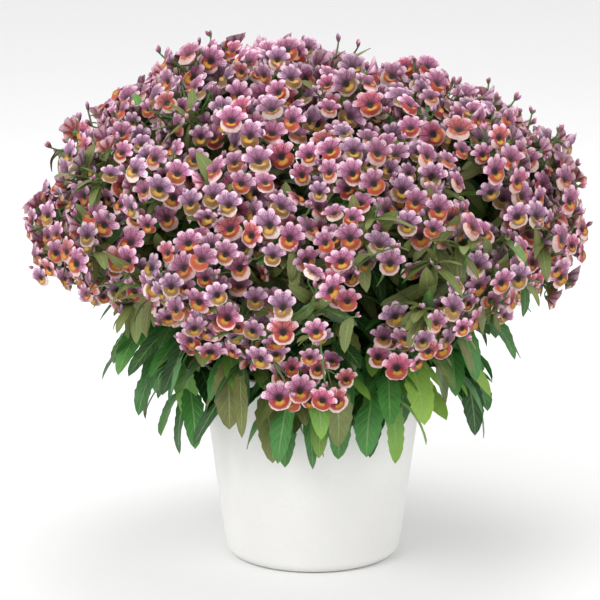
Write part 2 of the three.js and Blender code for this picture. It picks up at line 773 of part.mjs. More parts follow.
// The pot, a profile turned about the axis from the middle of its base up and back to its floor.
function potGeometry() {
  const slope = (POT_RIM_RADIUS - POT_BASE_RADIUS) / POT_HEIGHT;
  const profile = [new THREE.Vector2(0, 0)];
  for (let i = 0; i <= ROUNDING_STEPS; i += 1) {
    const angle = (i / ROUNDING_STEPS) * (Math.PI / 2);
    const radius = POT_BASE_RADIUS - FOOT_ROUNDING * (1 - Math.sin(angle)) + slope * FOOT_ROUNDING;
    profile.push(new THREE.Vector2(radius, FOOT_ROUNDING * (1 - Math.cos(angle))));
  }
  profile.push(new THREE.Vector2(POT_RIM_RADIUS, POT_HEIGHT - LIP_ROUNDING));
  profile.push(new THREE.Vector2(POT_RIM_RADIUS - LIP_ROUNDING, POT_HEIGHT));
  profile.push(new THREE.Vector2(POT_RIM_RADIUS - POT_WALL, POT_HEIGHT - LIP_ROUNDING / 2));
  profile.push(new THREE.Vector2(innerRadius(POT_FLOOR), POT_FLOOR));
  profile.push(new THREE.Vector2(0, POT_FLOOR));
  return new THREE.LatheGeometry(profile, POT_SIDES).rotateX(Math.PI / 2);
}

function innerRadius(height) {
  const slope = (POT_RIM_RADIUS - POT_BASE_RADIUS) / POT_HEIGHT;
  return POT_BASE_RADIUS - POT_WALL + slope * height;
}

function soilGeometry(holes) {
  const bottom = POT_FLOOR + FIT_GAP;
  const profile = [
    new THREE.Vector2(0, bottom),
    new THREE.Vector2(innerRadius(bottom) - SOIL_WALL_GAP, bottom),
    new THREE.Vector2(innerRadius(SOIL_EDGE_HEIGHT) - SOIL_WALL_GAP, SOIL_EDGE_HEIGHT),
    new THREE.Vector2(0, SOIL_CROWN_HEIGHT),
  ];
  const block = new THREE.LatheGeometry(profile, POT_SIDES).rotateX(Math.PI / 2);
  const bored = holes.reduce((soil, hole) => soil.subtract(solidOf(hole)), solidOf(block));
  return geometryOf(bored);
}

function holeFor(path, radius, steps) {
  return stemGeometry(path, radius + HOLE_CLEARANCE, steps).translate(0, 0, -HOLE_CLEARANCE);
}

const plant = new THREE.Group();

function addPiece(name, geometry, finish) {
  const mesh = new THREE.Mesh(geometry, finish);
  mesh.name = name;
  plant.add(mesh);
}

const sprays = placeSprays();
const racemes = placeRacemes(sprays);
const blooms = placeBlooms(racemes);
sprays.forEach((spray, k) => {
  const own = racemes.filter((raceme) => raceme.spray === spray);
  own.forEach((raceme) => {
    raceme.blooms = blooms.filter((bloom) => bloom.raceme === raceme);
  });
  const { fork, axis, turn, ordered } = setFork(spray, own);
  Object.assign(spray, { name: `spray_${k + 1}`, fork, axis, forkTurn: turn, racemes: ordered });
  spray.path = stemPath(spray);
  const owner = `stem_${k + 1}`;
  occupy(spheresAlong(spray.path, STEM_RADIUS, STEM_SPHERES), owner);
  spray.racemes.forEach((raceme) => {
    const branch = new THREE.LineCurve3(fork, raceme.centre);
    occupy(spheresAlong(branch, CORE_WAIST, BRANCH_SPHERES), spray.name);
    raceme.blooms.forEach(({ centre }) => {
      occupy([{ centre, radius: BLOOM_RADIUS * BLOOM_SPHERE_SHARE }], spray.name);
      const middle = raceme.centre.clone().add(centre).multiplyScalar(0.5);
      occupy([{ centre: middle, radius: TUBE_RADIUS }], spray.name);
    });
  });
});

const shoots = [];
for (let j = 0; j < SHOOT_COUNT; j += 1) {
  const owner = `leafy_shoot_${j + 1}`;
  const nominal = FIRST_SPRAY_AZIMUTH + ((j + 0.5) * 360) / SHOOT_COUNT;
  const paths = SHOOT_REACHES.flatMap((share) =>
    SHOOT_NUDGES.map((nudge) => shootPath(j % 2, nominal + nudge, share)),
  );
  const spheresOf = (path) => spheresAlong(path, SHOOT_RADIUS, SHOOT_SPHERES);
  const path = paths.find((choice) => isClear(spheresOf(choice), owner, SHOOT_MARGIN)) || paths[0];
  occupy(spheresOf(path), owner);
  shoots.push({ owner, path });
}
shoots.forEach((shoot) => {
  const pairs = leavesAlong(shoot.owner, shoot.path, SHOOT_LEAVES);
  const along = shoot.path.getTangentAt(1);
  const { right } = crossAxes(along);
  const end = fitLeaf(shoot.owner, shoot.path.getPointAt(1), along, right, SHOOT_END_LEAF);
  shoot.leaves = end ? [...pairs, end] : pairs;
});
sprays.forEach((spray, k) => {
  const places = k < CROWN_STEM_COUNT ? STEM_LEAVES.places.slice(0, 1) : STEM_LEAVES.places;
  spray.leaves = leavesAlong(`stem_${k + 1}`, spray.path, { ...STEM_LEAVES, places });
});

const holes = [
  ...sprays.map(({ path }) => holeFor(path, STEM_RADIUS, STEM_STEPS)),
  ...shoots.map(({ path }) => holeFor(path, SHOOT_RADIUS, SHOOT_STEPS)),
];
addPiece("pot", potGeometry(), POT_FINISH);
addPiece("soil", soilGeometry(holes), SOIL_FINISH);
sprays.forEach((spray, k) => {
  const leaves = spray.leaves.map((leaf) => leafGeometry(leaf, STEM_LEAF_FORM));
  const stem = stemGeometry(spray.path, STEM_RADIUS, STEM_STEPS);
  addPiece(`stem_${k + 1}`, geometryOf(joined([stem, ...leaves])), STEM_FINISH);
});
sprays.forEach((spray) => addPiece(spray.name, sprayGeometry(spray), BLOOM_FINISH));
shoots.forEach((shoot) => {
  const leaves = shoot.leaves.map((leaf) => leafGeometry(leaf, SHOOT_LEAF_FORM));
  const stem = stemGeometry(shoot.path, SHOOT_RADIUS, SHOOT_STEPS);
  addPiece(shoot.owner, geometryOf(joined([stem, ...leaves])), LEAF_FINISH);
});

export default plant;
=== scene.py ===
"""Potted nemesia in full flower: a mound of two-lipped blooms over toothed leaves, in a plain white pot.

The plant grows here by the same seeded rules as its solids, in millimetres, so each fine piece stands where
its node stands. Meshes are in metres, +Z up, with the middle of the pot's foot at the origin.
"""

import logging
import math
from collections.abc import Callable, Sequence
from dataclasses import dataclass, field, fields, replace
from enum import Enum

import bpy
import numpy as np
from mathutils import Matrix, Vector


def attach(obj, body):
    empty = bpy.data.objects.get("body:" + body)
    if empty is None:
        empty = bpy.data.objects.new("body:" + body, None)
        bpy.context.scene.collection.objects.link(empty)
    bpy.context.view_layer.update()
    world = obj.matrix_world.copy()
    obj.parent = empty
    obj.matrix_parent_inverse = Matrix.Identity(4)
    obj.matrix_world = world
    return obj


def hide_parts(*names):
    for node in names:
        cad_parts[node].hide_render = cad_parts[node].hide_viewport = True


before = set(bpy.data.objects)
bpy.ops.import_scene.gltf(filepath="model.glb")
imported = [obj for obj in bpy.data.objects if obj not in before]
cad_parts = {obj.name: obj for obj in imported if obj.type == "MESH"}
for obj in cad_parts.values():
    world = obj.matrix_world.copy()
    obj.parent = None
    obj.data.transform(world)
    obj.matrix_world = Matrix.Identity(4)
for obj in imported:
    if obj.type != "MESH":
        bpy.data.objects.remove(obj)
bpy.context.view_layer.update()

LOG = logging.getLogger("nemesia")
BODY = "root"
MM = 0.001
UP = np.array([0.0, 0.0, 1.0])
Array = np.ndarray
Pair = tuple[float, float]
Triple = tuple[float, float, float]
Steps = tuple[tuple[int, float], ...]


# Directions and curves


def unit(vectors: Array) -> Array:
    """Vectors scaled to length one along their last axis."""
    return vectors / np.maximum(np.linalg.norm(vectors, axis=-1, keepdims=True), 1e-12)


def power(values: Array, exponent: float) -> Array:
    """Values raised to an exponent, with those below zero taken as zero."""
    return np.maximum(values, 0.0) ** exponent


def cross_axes(axis: Array) -> tuple[Array, Array]:
    """Two directions square to each axis, the first one level where it can be.

    Args:
        axis: Unit vectors, shape (..., 3).

    Returns:
        The level direction, up crossed with the axis, and the axis crossed with that.
    """
    level = np.cross(UP, axis)
    size = np.linalg.norm(level, axis=-1, keepdims=True)
    right = np.where(size < 1e-3, (1.0, 0.0, 0.0), level / np.maximum(size, 1e-12))
    return right, np.cross(axis, right)


def around(axis: Array, lean: Array | float, turn: Array | float) -> Array:
    """Directions that lean from an axis by an angle, turned about it.

    Args:
        axis: Unit vectors, shape (..., 3).
        lean: Angle from the axis, in radians.
        turn: Angle about the axis, in radians, from its level direction.

    Returns:
        cos(lean) axis + sin(lean) (cos(turn) right + sin(turn) over), shape (..., 3).
    """
    right, over = cross_axes(axis)
    lean, turn = np.asarray(lean)[..., None], np.asarray(turn)[..., None]
    return np.cos(lean) * axis + np.sin(lean) * (np.cos(turn) * right + np.sin(turn) * over)


def pushes_apart(places: Array, spacing: float, stiffness: float) -> Array:
    """How far each place moves so that pairs closer than a spacing part.

    Args:
        places: Shape (n, 3).
        spacing: The least distance wanted between two places.
        stiffness: Share of the missing distance that each of the two moves.

    Returns:
        The sum, over the too close neighbours, of stiffness times the missing distance, away from them.
    """
    gaps = places[:, None] - places[None, :]
    distance = np.linalg.norm(gaps, axis=2)
    near = (distance < spacing) & (distance > 0)
    weight = np.where(near, stiffness * (spacing - distance) / np.where(near, distance, 1.0), 0.0)
    return np.einsum("ij,ijk->ik", weight, gaps)


class Bezier:
    """A cubic Bezier curve that can be read by shares of its length."""

    TABLE_STEPS = 200
    TANGENT_STEP = 1e-4

    def __init__(self, corners: Array) -> None:
        """Measures the curve through a table of chords.

        Args:
            corners: The curve's four points, shape (4, 3).
        """
        self.corners = np.asarray(corners, float)
        self.shares = np.linspace(0.0, 1.0, self.TABLE_STEPS + 1)
        chords = np.linalg.norm(np.diff(self.at_parameter(self.shares), axis=0), axis=1)
        self.lengths = np.concatenate([[0.0], np.cumsum(chords)])

    def at_parameter(self, t: Array | float) -> Array:
        """Places at parameters t, by the four Bernstein weights."""
        t = np.asarray(t, float)[..., None]
        a, b, c, d = self.corners
        return (1 - t) ** 3 * a + 3 * (1 - t) ** 2 * t * b + 3 * (1 - t) * t * t * c + t**3 * d

    def parameter(self, share: Array | float) -> Array:
        """Parameters of the places at the given shares of the curve's length."""
        return np.interp(np.asarray(share) * self.lengths[-1], self.lengths, self.shares)

    def at(self, share: Array | float) -> Array:
        """Places at the given shares of the curve's length."""
        return self.at_parameter(self.parameter(share))

    def direction(self, share: Array | float) -> Array:
        """Unit tangents at the given shares of the curve's length."""
        t = self.parameter(share)
        ahead = self.at_parameter(np.minimum(t + self.TANGENT_STEP, 1.0))
        return unit(ahead - self.at_parameter(np.maximum(t - self.TANGENT_STEP, 0.0)))


class Draws:
    """Seeded draws by a linear congruence, the same in any language."""

    FACTOR = 1664525
    STEP = 1013904223
    MODULUS = 4294967296

    def __init__(self, seed: int) -> None:
        """Starts at a seed."""
        self.seed = seed

    def share(self) -> float:
        """The next draw between 0 and 1."""
        self.seed = (self.seed * self.FACTOR + self.STEP) % self.MODULUS
        return self.seed / self.MODULUS

    def around(self, middle: float, spread: float) -> float:
        """The next draw within a spread of a middle value."""
        return middle + (2.0 * self.share() - 1.0) * spread


# Where the plant grows, in millimetres


@dataclass(frozen=True)
class Swell:
    """A place where the mound stands proud of its plain form, or sinks below it."""

    place: Triple
    amount: float
    reach: float

    def lift(self, places: Array) -> Array:
        """How far places move: amount times exp(-(distance / reach) squared / 2)."""
        away = np.linalg.norm(places - np.array(self.place), axis=-1) / self.reach
        return self.amount * np.exp(-away * away / 2.0)


@dataclass(frozen=True)
class Mound:
    """The surface that the blooms lie on: widest at one height, crowned above it, drawn in below it."""

    radius: float = 203.0
    widest_height: float = 236.0
    crown_rise: float = 148.0
    squareness: float = 0.87
    side_drop: float = 40.0
    front_drop: float = 100.0
    mouth_radius: float = 122.0
    table_steps: int = 96
    swells: tuple[Swell, ...] = (
        Swell((-72, -10, 380), 14, 38),
        Swell((48, -10, 380), -24, 26),
        Swell((-205, -20, 250), 9, 34),
        Swell((-120, -20, 355), -8, 30),
        Swell((185, -20, 305), 2, 34),
        Swell((112, 35, 355), -21, 56),
        Swell((-165, -10, 195), -8, 40),
        Swell((165, -10, 195), -4, 40),
        Swell((-192, 0, 300), -9, 24),
    )

    NORMAL_STEP = 1e-3
    MEAN_OF_SINE_FOURTH = 0.375

    @property
    def mouth_theta(self) -> float:
        """Theta at the mound's lower opening."""
        return math.pi - math.asin(self.mouth_radius / self.radius)

    def belly(self, phi: Array | float) -> Array:
        """Drop of the mound below its widest ring, deeper at its front and back than at its sides."""
        return self.side_drop + (self.front_drop - self.side_drop) * np.sin(phi) ** 4

    def profile(self, theta: Array | float, belly: Array | float) -> tuple[Array, Array]:
        """Radius and height at theta, which runs from the top down past the widest ring.

        Args:
            theta: Angle from the top, in radians.
            belly: Drop of the part below the widest ring.

        Returns:
            Radius and height: a superellipse above the widest ring and an ellipse below it.
        """
        sine, cosine = np.sin(theta), np.cos(theta)
        upper = cosine > 0
        radius = self.radius * np.where(upper, power(sine, self.squareness), sine)
        rise = np.where(upper, self.crown_rise * power(cosine, self.squareness), belly * cosine)
        return radius, self.widest_height + rise

    def point(self, theta: Array | float, phi: Array | float) -> Array:
        """Places on the plain mound, shape (..., 3)."""
        radius, height = self.profile(theta, self.belly(phi))
        return np.stack([radius * np.cos(phi), radius * np.sin(phi), height], axis=-1)

    def normal(self, theta: Array | float, phi: Array | float) -> Array:
        """Unit normals of the plain mound, square to its profile's chord over a step each way."""
        belly, step = self.belly(phi), self.NORMAL_STEP
        near_radius, near_height = self.profile(np.maximum(np.asarray(theta) - step, 0.0), belly)
        far_radius, far_height = self.profile(np.asarray(theta) + step, belly)
        outward, upward = near_height - far_height, far_radius - near_radius
        return unit(np.stack([outward * np.cos(phi), outward * np.sin(phi), upward], axis=-1))

    def angles(self, places: Array) -> tuple[Array, Array]:
        """Theta and phi of the mound under each place."""
        phi = np.arctan2(places[..., 1], places[..., 0])
        across = np.hypot(places[..., 0], places[..., 1]) / self.radius
        above = places[..., 2] - self.widest_height
        exponent = 1.0 / self.squareness
        upper = np.arctan2(power(across, exponent), power(above / self.crown_rise, exponent))
        lower = np.minimum(np.arctan2(across, above / self.belly(phi)), self.mouth_theta)
        return np.where(above > 0, upper, lower), phi

    def theta_of_share(self, share: float) -> float:
        """Theta above which the mound holds the given share of its area."""
        thetas = np.linspace(0.0, self.mouth_theta, self.table_steps + 1)
        mean_drop = self.side_drop + self.MEAN_OF_SINE_FOURTH * (self.front_drop - self.side_drop)
        radius, height = self.profile(thetas, mean_drop)
        slant = np.hypot(np.diff(radius), np.diff(height))
        areas = np.concatenate([[0.0], np.cumsum(slant * (radius[1:] + radius[:-1]) / 2.0)])
        return float(np.interp(share * areas[-1], areas, thetas))

    def sunk(self, theta: Array | float, phi: Array | float, inset: Array | float) -> Array:
        """Places under the surface, after the swells have moved it.

        Args:
            theta: Angle from the top, in radians.
            phi: Angle round the axis, in radians.
            inset: Depth below the swollen surface.

        Returns:
            The surface point moved along its normal by the sum of the swells' Gaussians less the inset.
        """
        surface = self.point(theta, phi)
        lift = -np.asarray(inset, float)
        for swell in self.swells:
            lift = lift + swell.lift(surface)
        return surface + self.normal(theta, phi) * lift[..., None]


@dataclass(frozen=True)
class PotShape:
    """The tapered outer wall of the pot, in millimetres."""

    height: float = 150.0
    rim_radius: float = 85.0
    base_radius: float = 65.0

    @property
    def taper(self) -> float:
        """Radius gained per unit of height."""
        return (self.rim_radius - self.base_radius) / self.height


@dataclass(frozen=True)
class Leaf:
    """A leaf's place: its midrib leaves the base along forward and bends evenly away from its normal."""

    base: Array
    forward: Array
    normal: Array
    length: float
    droop: float

    def places(self, shares: Array) -> Array:
        """Places along the midrib, on an arc of circle."""
        bend = (self.droop * shares)[:, None]
        return self.base + self.length / self.droop * (
            self.forward * np.sin(bend) - self.normal * (1.0 - np.cos(bend))
        )


@dataclass(frozen=True)
class LeafHabit:
    """How leaves stand on their shoot: angles in degrees, lengths in millimetres."""

    splay: float
    length: float
    droop: float
    lift: float


@dataclass
class Spray:
    """A flowering stem's head: its place on the mound, its fork and its leaves."""

    share: float
    theta: float
    phi: float
    turn: float
    fork: Array = field(default_factory=lambda: np.zeros(3))
    axis: Array = field(default_factory=lambda: np.zeros(3))
    path: Bezier | None = None
    leaves: list[Leaf] = field(default_factory=list)


@dataclass
class Shoot:
    """A leafy shoot of the skirt."""

    path: Bezier
    leaves: list[Leaf] = field(default_factory=list)


class Ground:
    """What is already placed, as spheres with owners, so that shoots and leaves can be bent clear of it."""

    def __init__(self) -> None:
        """Starts empty."""
        self.centres = np.zeros((0, 3))
        self.radii = np.zeros(0)
        self.owners = np.zeros(0, int)

    def occupy(self, centres: Array, radii: Array | float, owner: int) -> None:
        """Adds spheres of one owner."""
        centres = np.atleast_2d(centres)
        self.centres = np.vstack([self.centres, centres])
        self.radii = np.concatenate([self.radii, np.broadcast_to(radii, len(centres))])
        self.owners = np.concatenate([self.owners, np.full(len(centres), owner)])

    def is_clear(self, centres: Array, radii: Array | float, owner: int, margin: float) -> bool:
        """Whether spheres lie a margin clear of those of every other owner."""
        others = self.owners != owner
        away = np.linalg.norm(centres[:, None] - self.centres[None, others], axis=2)
        least = self.radii[None, others] + np.broadcast_to(radii, len(centres))[:, None] + margin
        return bool((away > least).all())


@dataclass
class Growth:
    """The plant's layout, grown in the order in which its solids grow.

    Lengths are in millimetres and angles in degrees. The draws follow one seed, so their order matters.
    Only more_heads has no solids: small heads of bloom that the scene adds, low in front and at the back.
    """

    mound: Mound = field(default_factory=Mound)
    seed: int = 20617
    spray_count: int = 21
    racemes_per_spray: int = 4
    blooms_per_raceme: int = 4
    golden_angle: float = 137.507764
    first_azimuth: float = -90.0
    raceme_offset: float = 32.0
    raceme_spacing: float = 62.0
    raceme_tether: float = 48.0
    raceme_inset: float = 25.0
    raceme_inset_spread: float = 8.0
    raceme_uprightness: float = 0.15
    raceme_push: float = 0.25
    raceme_rounds: int = 80
    fork_inset: float = 66.0
    fork_shank: float = 8.0
    fit_gap: float = 0.3
    core_waist: float = 4.0
    bloom_radius: float = 15.0
    bloom_lean: float = 52.0
    bloom_lean_spread: float = 7.0
    bloom_reach: float = 28.0
    bloom_reach_least: float = 26.5
    bloom_reach_most: float = 34.0
    bloom_spacing: float = 30.6
    bloom_swing: float = 22.0
    bloom_push: float = 0.3
    bloom_rounds: int = 60
    tube_radius: float = 8.0
    stem_radius: float = 2.2
    stem_spread: float = 44.0
    stem_root_height: float = 122.0
    stem_rise_share: float = 0.5
    stem_run_share: float = 0.32
    shoot_count: int = 16
    shoot_radius: float = 1.7
    shoot_side_reach: float = 0.13
    shoot_tiers: tuple[tuple[Pair, ...], ...] = (
        ((55.0, 125.0), (56.0, 188.0), (84.0, 208.0), (114.0, 178.0)),
        ((64.0, 125.0), (64.0, 174.0), (90.0, 178.0), (104.0, 141.0)),
    )
    shoot_nudges: tuple[float, ...] = (0, 2, -2, 4, -4, 6, -6, 8, -8, 10, -10)
    shoot_reaches: tuple[float, ...] = (1.0, 0.92, 0.84, 0.76)
    shoot_leaf_places: tuple[float, ...] = (0.6, 0.8, 0.985)
    shoot_leaf_habits: tuple[LeafHabit, ...] = (
        LeafHabit(78, 50, 48, 12),
        LeafHabit(62, 50, 48, 12),
        LeafHabit(44, 50, 48, 12),
    )
    shoot_end_habit: LeafHabit = LeafHabit(0, 50, 24, 4)
    stem_leaf_places: tuple[float, ...] = (0.8, 0.6)
    stem_leaf_turns: tuple[float, ...] = (40.0, 130.0)
    stem_leaf_habit: LeafHabit = LeafHabit(62, 36, 28, 0)
    crown_stem_count: int = 13
    leaf_width_share: float = 0.35
    leaf_swing: float = 4.0
    leaf_swing_growth: float = 2.5
    leaf_droop_spread: float = 8.0
    leaf_tries: int = 14
    leaf_shrink: float = 0.955
    leaf_margin: float = 1.4
    pot_margin: float = 2.5
    pot: PotShape = field(default_factory=PotShape)
    more_heads: tuple[Triple, ...] = (
        (-14, -163, 163),
        (8, -166, 170),
        (66, -152, 192),
        (0, 174, 258),
    )

    SPHERE_SHARES = np.array([0.3, 0.5, 0.72, 0.98])
    SPHERE_WIDTHS = np.array([0.8, 0.9, 0.6, 0.2])
    FACING_WEIGHTS = (0.8, 0.2, 0.06)
    RIM_SHARE = 0.9
    STEM_SPHERES = 25
    BRANCH_SPHERES = 9
    SHOOT_SPHERES = 17
    SHOOT_CLEARANCE = 1.0

    def grow(self) -> None:
        """Places the sprays, their racemes and blooms, then the shoots, and last every leaf."""
        self.draws = Draws(self.seed)
        self.ground = Ground()
        self.place_sprays()
        self.place_racemes()
        self.place_blooms()
        for k, spray in enumerate(self.sprays):
            self.set_fork(k, spray)
        self.place_shoots()
        self.place_leaves()

    def place_sprays(self) -> None:
        """Spirals the sprays down the mound at equal areas."""
        self.sprays: list[Spray] = []
        for k in range(self.spray_count):
            share = (k + 0.5) / self.spray_count
            phi = math.radians(self.first_azimuth + k * self.golden_angle)
            turn = self.draws.share() * math.pi
            self.sprays.append(Spray(share, self.mound.theta_of_share(share), phi, turn))

    def place_racemes(self) -> None:
        """Spreads each spray's racemes round it until all lie evenly on the mound."""
        count = self.racemes_per_spray
        theta = np.repeat([spray.theta for spray in self.sprays], count)
        phi = np.repeat([spray.phi for spray in self.sprays], count)
        turn = np.repeat([spray.turn for spray in self.sprays], count)
        turn = turn + np.tile(2 * math.pi * np.arange(count) / count, len(self.sprays))
        homes = self.mound.point(theta, phi)
        places = homes + self.raceme_offset * around(self.mound.normal(theta, phi), math.pi / 2, turn)
        for _ in range(self.raceme_rounds):
            places = places + pushes_apart(places, self.raceme_spacing, self.raceme_push)
            away = places - homes
            length = np.linalg.norm(away, axis=1, keepdims=True)
            places = homes + away / length * np.minimum(length, self.raceme_tether)
            places = self.mound.point(*self.mound.angles(places))
        theta, phi = self.mound.angles(places)
        drawn = [
            (self.draws.around(self.raceme_inset, self.raceme_inset_spread), self.draws.share() * math.pi)
            for _ in places
        ]
        insets, turns = np.array(drawn).T
        self.raceme_normals = self.mound.normal(theta, phi)
        self.raceme_axes = unit(self.raceme_normals + self.raceme_uprightness * UP)
        self.raceme_centres = self.mound.sunk(theta, phi, insets)
        self.raceme_turns = turns

    def place_blooms(self) -> None:
        """Stands blooms round their racemes and pushes them apart until rims and tubes lie clear."""
        count = self.blooms_per_raceme
        self.raceme_of_bloom = np.repeat(np.arange(len(self.raceme_centres)), count)
        own = self.raceme_of_bloom
        leans = [self.draws.around(self.bloom_lean, self.bloom_lean_spread) for _ in own]
        turns = self.raceme_turns[own] + np.tile(
            2 * math.pi * np.arange(count) / count, len(self.raceme_centres)
        )
        homes = around(self.raceme_axes[own], np.radians(leans), turns)
        cores = self.raceme_centres[own]
        centres = cores + self.bloom_reach * homes
        for _ in range(self.bloom_rounds):
            centres = centres + pushes_apart(centres, self.bloom_spacing, self.bloom_push)
            centres = centres + self.pushes_off_tubes(centres, cores)
            away = centres - cores
            length = np.linalg.norm(away, axis=1, keepdims=True)
            along = np.sum(away * homes, axis=1, keepdims=True)
            swing = np.minimum(
                np.arccos(np.clip(along / length, -1.0, 1.0)), math.radians(self.bloom_swing)
            )
            aside = unit(away - homes * along)
            reach = np.clip(length, self.bloom_reach_least, self.bloom_reach_most)
            centres = cores + reach * (homes * np.cos(swing) + aside * np.sin(swing))
        self.bloom_centres = centres
        outward = unit(centres - cores)
        by_core, by_mound, by_up = self.FACING_WEIGHTS
        self.bloom_facings = unit(by_core * outward + by_mound * self.raceme_normals[own] + by_up * UP)

    def pushes_off_tubes(self, centres: Array, cores: Array) -> Array:
        """Pushes between each bloom and the tubes of the blooms of other racemes.

        Args:
            centres: Bloom centres, shape (n, 3).
            cores: The raceme centre of each bloom, shape (n, 3).

        Returns:
            The bloom's own pushes away from the tubes, less those that others make on its tube.
        """
        gaps = centres[:, None] - ((cores + centres) * 0.5)[None, :]
        distance = np.linalg.norm(gaps, axis=2)
        least = self.bloom_radius + self.tube_radius
        near = (distance < least) & (self.raceme_of_bloom[:, None] != self.raceme_of_bloom[None, :])
        weight = np.where(near, self.bloom_push * (least - distance) / np.maximum(distance, 1e-9), 0.0)
        return np.einsum("ij,ijk->ik", weight, gaps) - np.einsum("ij,ijk->jk", weight, gaps)

    def set_fork(self, k: int, spray: Spray) -> None:
        """Sets a spray's fork, which looks towards the middle of its racemes, and its stem's curve."""
        own = np.arange(k * self.racemes_per_spray, (k + 1) * self.racemes_per_spray)
        centres = self.raceme_centres[own]
        spray.fork = self.mound.sunk(spray.theta, spray.phi, self.fork_inset)
        spray.axis = unit(centres.mean(axis=0) - spray.fork)
        direction = np.array([math.cos(spray.phi), math.sin(spray.phi), 0.0])
        root = direction * self.stem_spread * math.sqrt(spray.share) + UP * self.stem_root_height
        end = spray.fork - spray.axis * (self.fork_shank + self.fit_gap)
        rise = (end[2] - root[2]) * self.stem_rise_share
        run = np.linalg.norm(end - root) * self.stem_run_share
        spray.path = Bezier(np.array([root, root + UP * rise, end - spray.axis * run, end]))
        places = spray.path.at(np.linspace(0, 1, self.STEM_SPHERES))
        self.ground.occupy(places, self.stem_radius, self.stem_owner(k))
        owner = self.spray_owner(k)
        for raceme, centre in zip(own, centres):
            branch = spray.fork + np.linspace(0, 1, self.BRANCH_SPHERES)[:, None] * (centre - spray.fork)
            self.ground.occupy(branch, self.core_waist, owner)
            blooms = self.bloom_centres[self.raceme_of_bloom == raceme]
            self.ground.occupy(blooms, self.bloom_radius * self.RIM_SHARE, owner)
            self.ground.occupy((blooms + centre) * 0.5, self.tube_radius, owner)

    def stem_owner(self, k: int) -> int:
        """Owner number of a flowering stem."""
        return k

    def spray_owner(self, k: int) -> int:
        """Owner number of a spray."""
        return self.spray_count + k

    def shoot_owner(self, j: int) -> int:
        """Owner number of a leafy shoot."""
        return 2 * self.spray_count + j

    def shoot_path(self, tier: int, azimuth: float, share: float) -> Bezier:
        """Curve of a shoot that arches over the rim.

        Args:
            tier: 0 for the upper tier and 1 for the lower.
            azimuth: Direction in which it leaves the pot, in degrees.
            share: Share of its full reach.

        Returns:
            The tier's Bezier in the vertical plane of the azimuth, stretched towards the sides.
        """
        phi = math.radians(azimuth)
        stretch = share * (1 + self.shoot_side_reach * math.cos(2 * phi))
        reaches = [(d if i < 2 else d * stretch, h) for i, (d, h) in enumerate(self.shoot_tiers[tier])]
        return Bezier(np.array([[d * math.cos(phi), d * math.sin(phi), h] for d, h in reaches]))

    def place_shoots(self) -> None:
        """Sets the skirt's shoots round the pot, each turned or drawn in until it is clear."""
        self.shoots: list[Shoot] = []
        steps = np.linspace(0, 1, self.SHOOT_SPHERES)
        for j in range(self.shoot_count):
            nominal = self.first_azimuth + (j + 0.5) * 360.0 / self.shoot_count
            paths = [
                self.shoot_path(j % 2, nominal + nudge, share)
                for share in self.shoot_reaches
                for nudge in self.shoot_nudges
            ]
            owner = self.shoot_owner(j)
            clear = (
                path
                for path in paths
                if self.ground.is_clear(path.at(steps), self.shoot_radius, owner, self.SHOOT_CLEARANCE)
            )
            path = next(clear, paths[0])
            self.ground.occupy(path.at(steps), self.shoot_radius, owner)
            self.shoots.append(Shoot(path))

    def place_leaves(self) -> None:
        """Fits every leaf: those of the shoots first, then those of the flowering stems."""
        for j, shoot in enumerate(self.shoots):
            owner = self.shoot_owner(j)
            for place, habit in zip(self.shoot_leaf_places, self.shoot_leaf_habits):
                shoot.leaves += self.leaf_pair(owner, shoot.path, place, 0.0, habit)
            shoot.leaves += self.end_leaf(owner, shoot.path)
        for k, spray in enumerate(self.sprays):
            pairs = 1 if k < self.crown_stem_count else len(self.stem_leaf_places)
            for place, turn in list(zip(self.stem_leaf_places, self.stem_leaf_turns))[:pairs]:
                owner = self.stem_owner(k)
                spray.leaves += self.leaf_pair(owner, spray.path, place, turn, self.stem_leaf_habit)

    def leaf_pair(self, owner: int, path: Bezier, place: float, turn: float, habit: LeafHabit) -> list[Leaf]:
        """The leaves of one opposite pair that could be fitted.

        Args:
            owner: Owner number of the shoot.
            path: The shoot's curve.
            place: Where the pair grows, as a share of the curve.
            turn: Turn of the pair about the curve, in degrees.
            habit: How the leaves stand.

        Returns:
            Up to two leaves.
        """
        along = path.direction(place)
        quarter = around(along, math.pi / 2, math.radians(turn))
        pair = [self.fit_leaf(owner, path.at(place), along, sign * quarter, habit) for sign in (1.0, -1.0)]
        return [leaf for leaf in pair if leaf]

    def end_leaf(self, owner: int, path: Bezier) -> list[Leaf]:
        """The leaf at a shoot's tip, if it could be fitted."""
        along = path.direction(1.0)
        end = self.fit_leaf(owner, path.at(1.0), along, cross_axes(along)[0], self.shoot_end_habit)
        return [end] if end else []

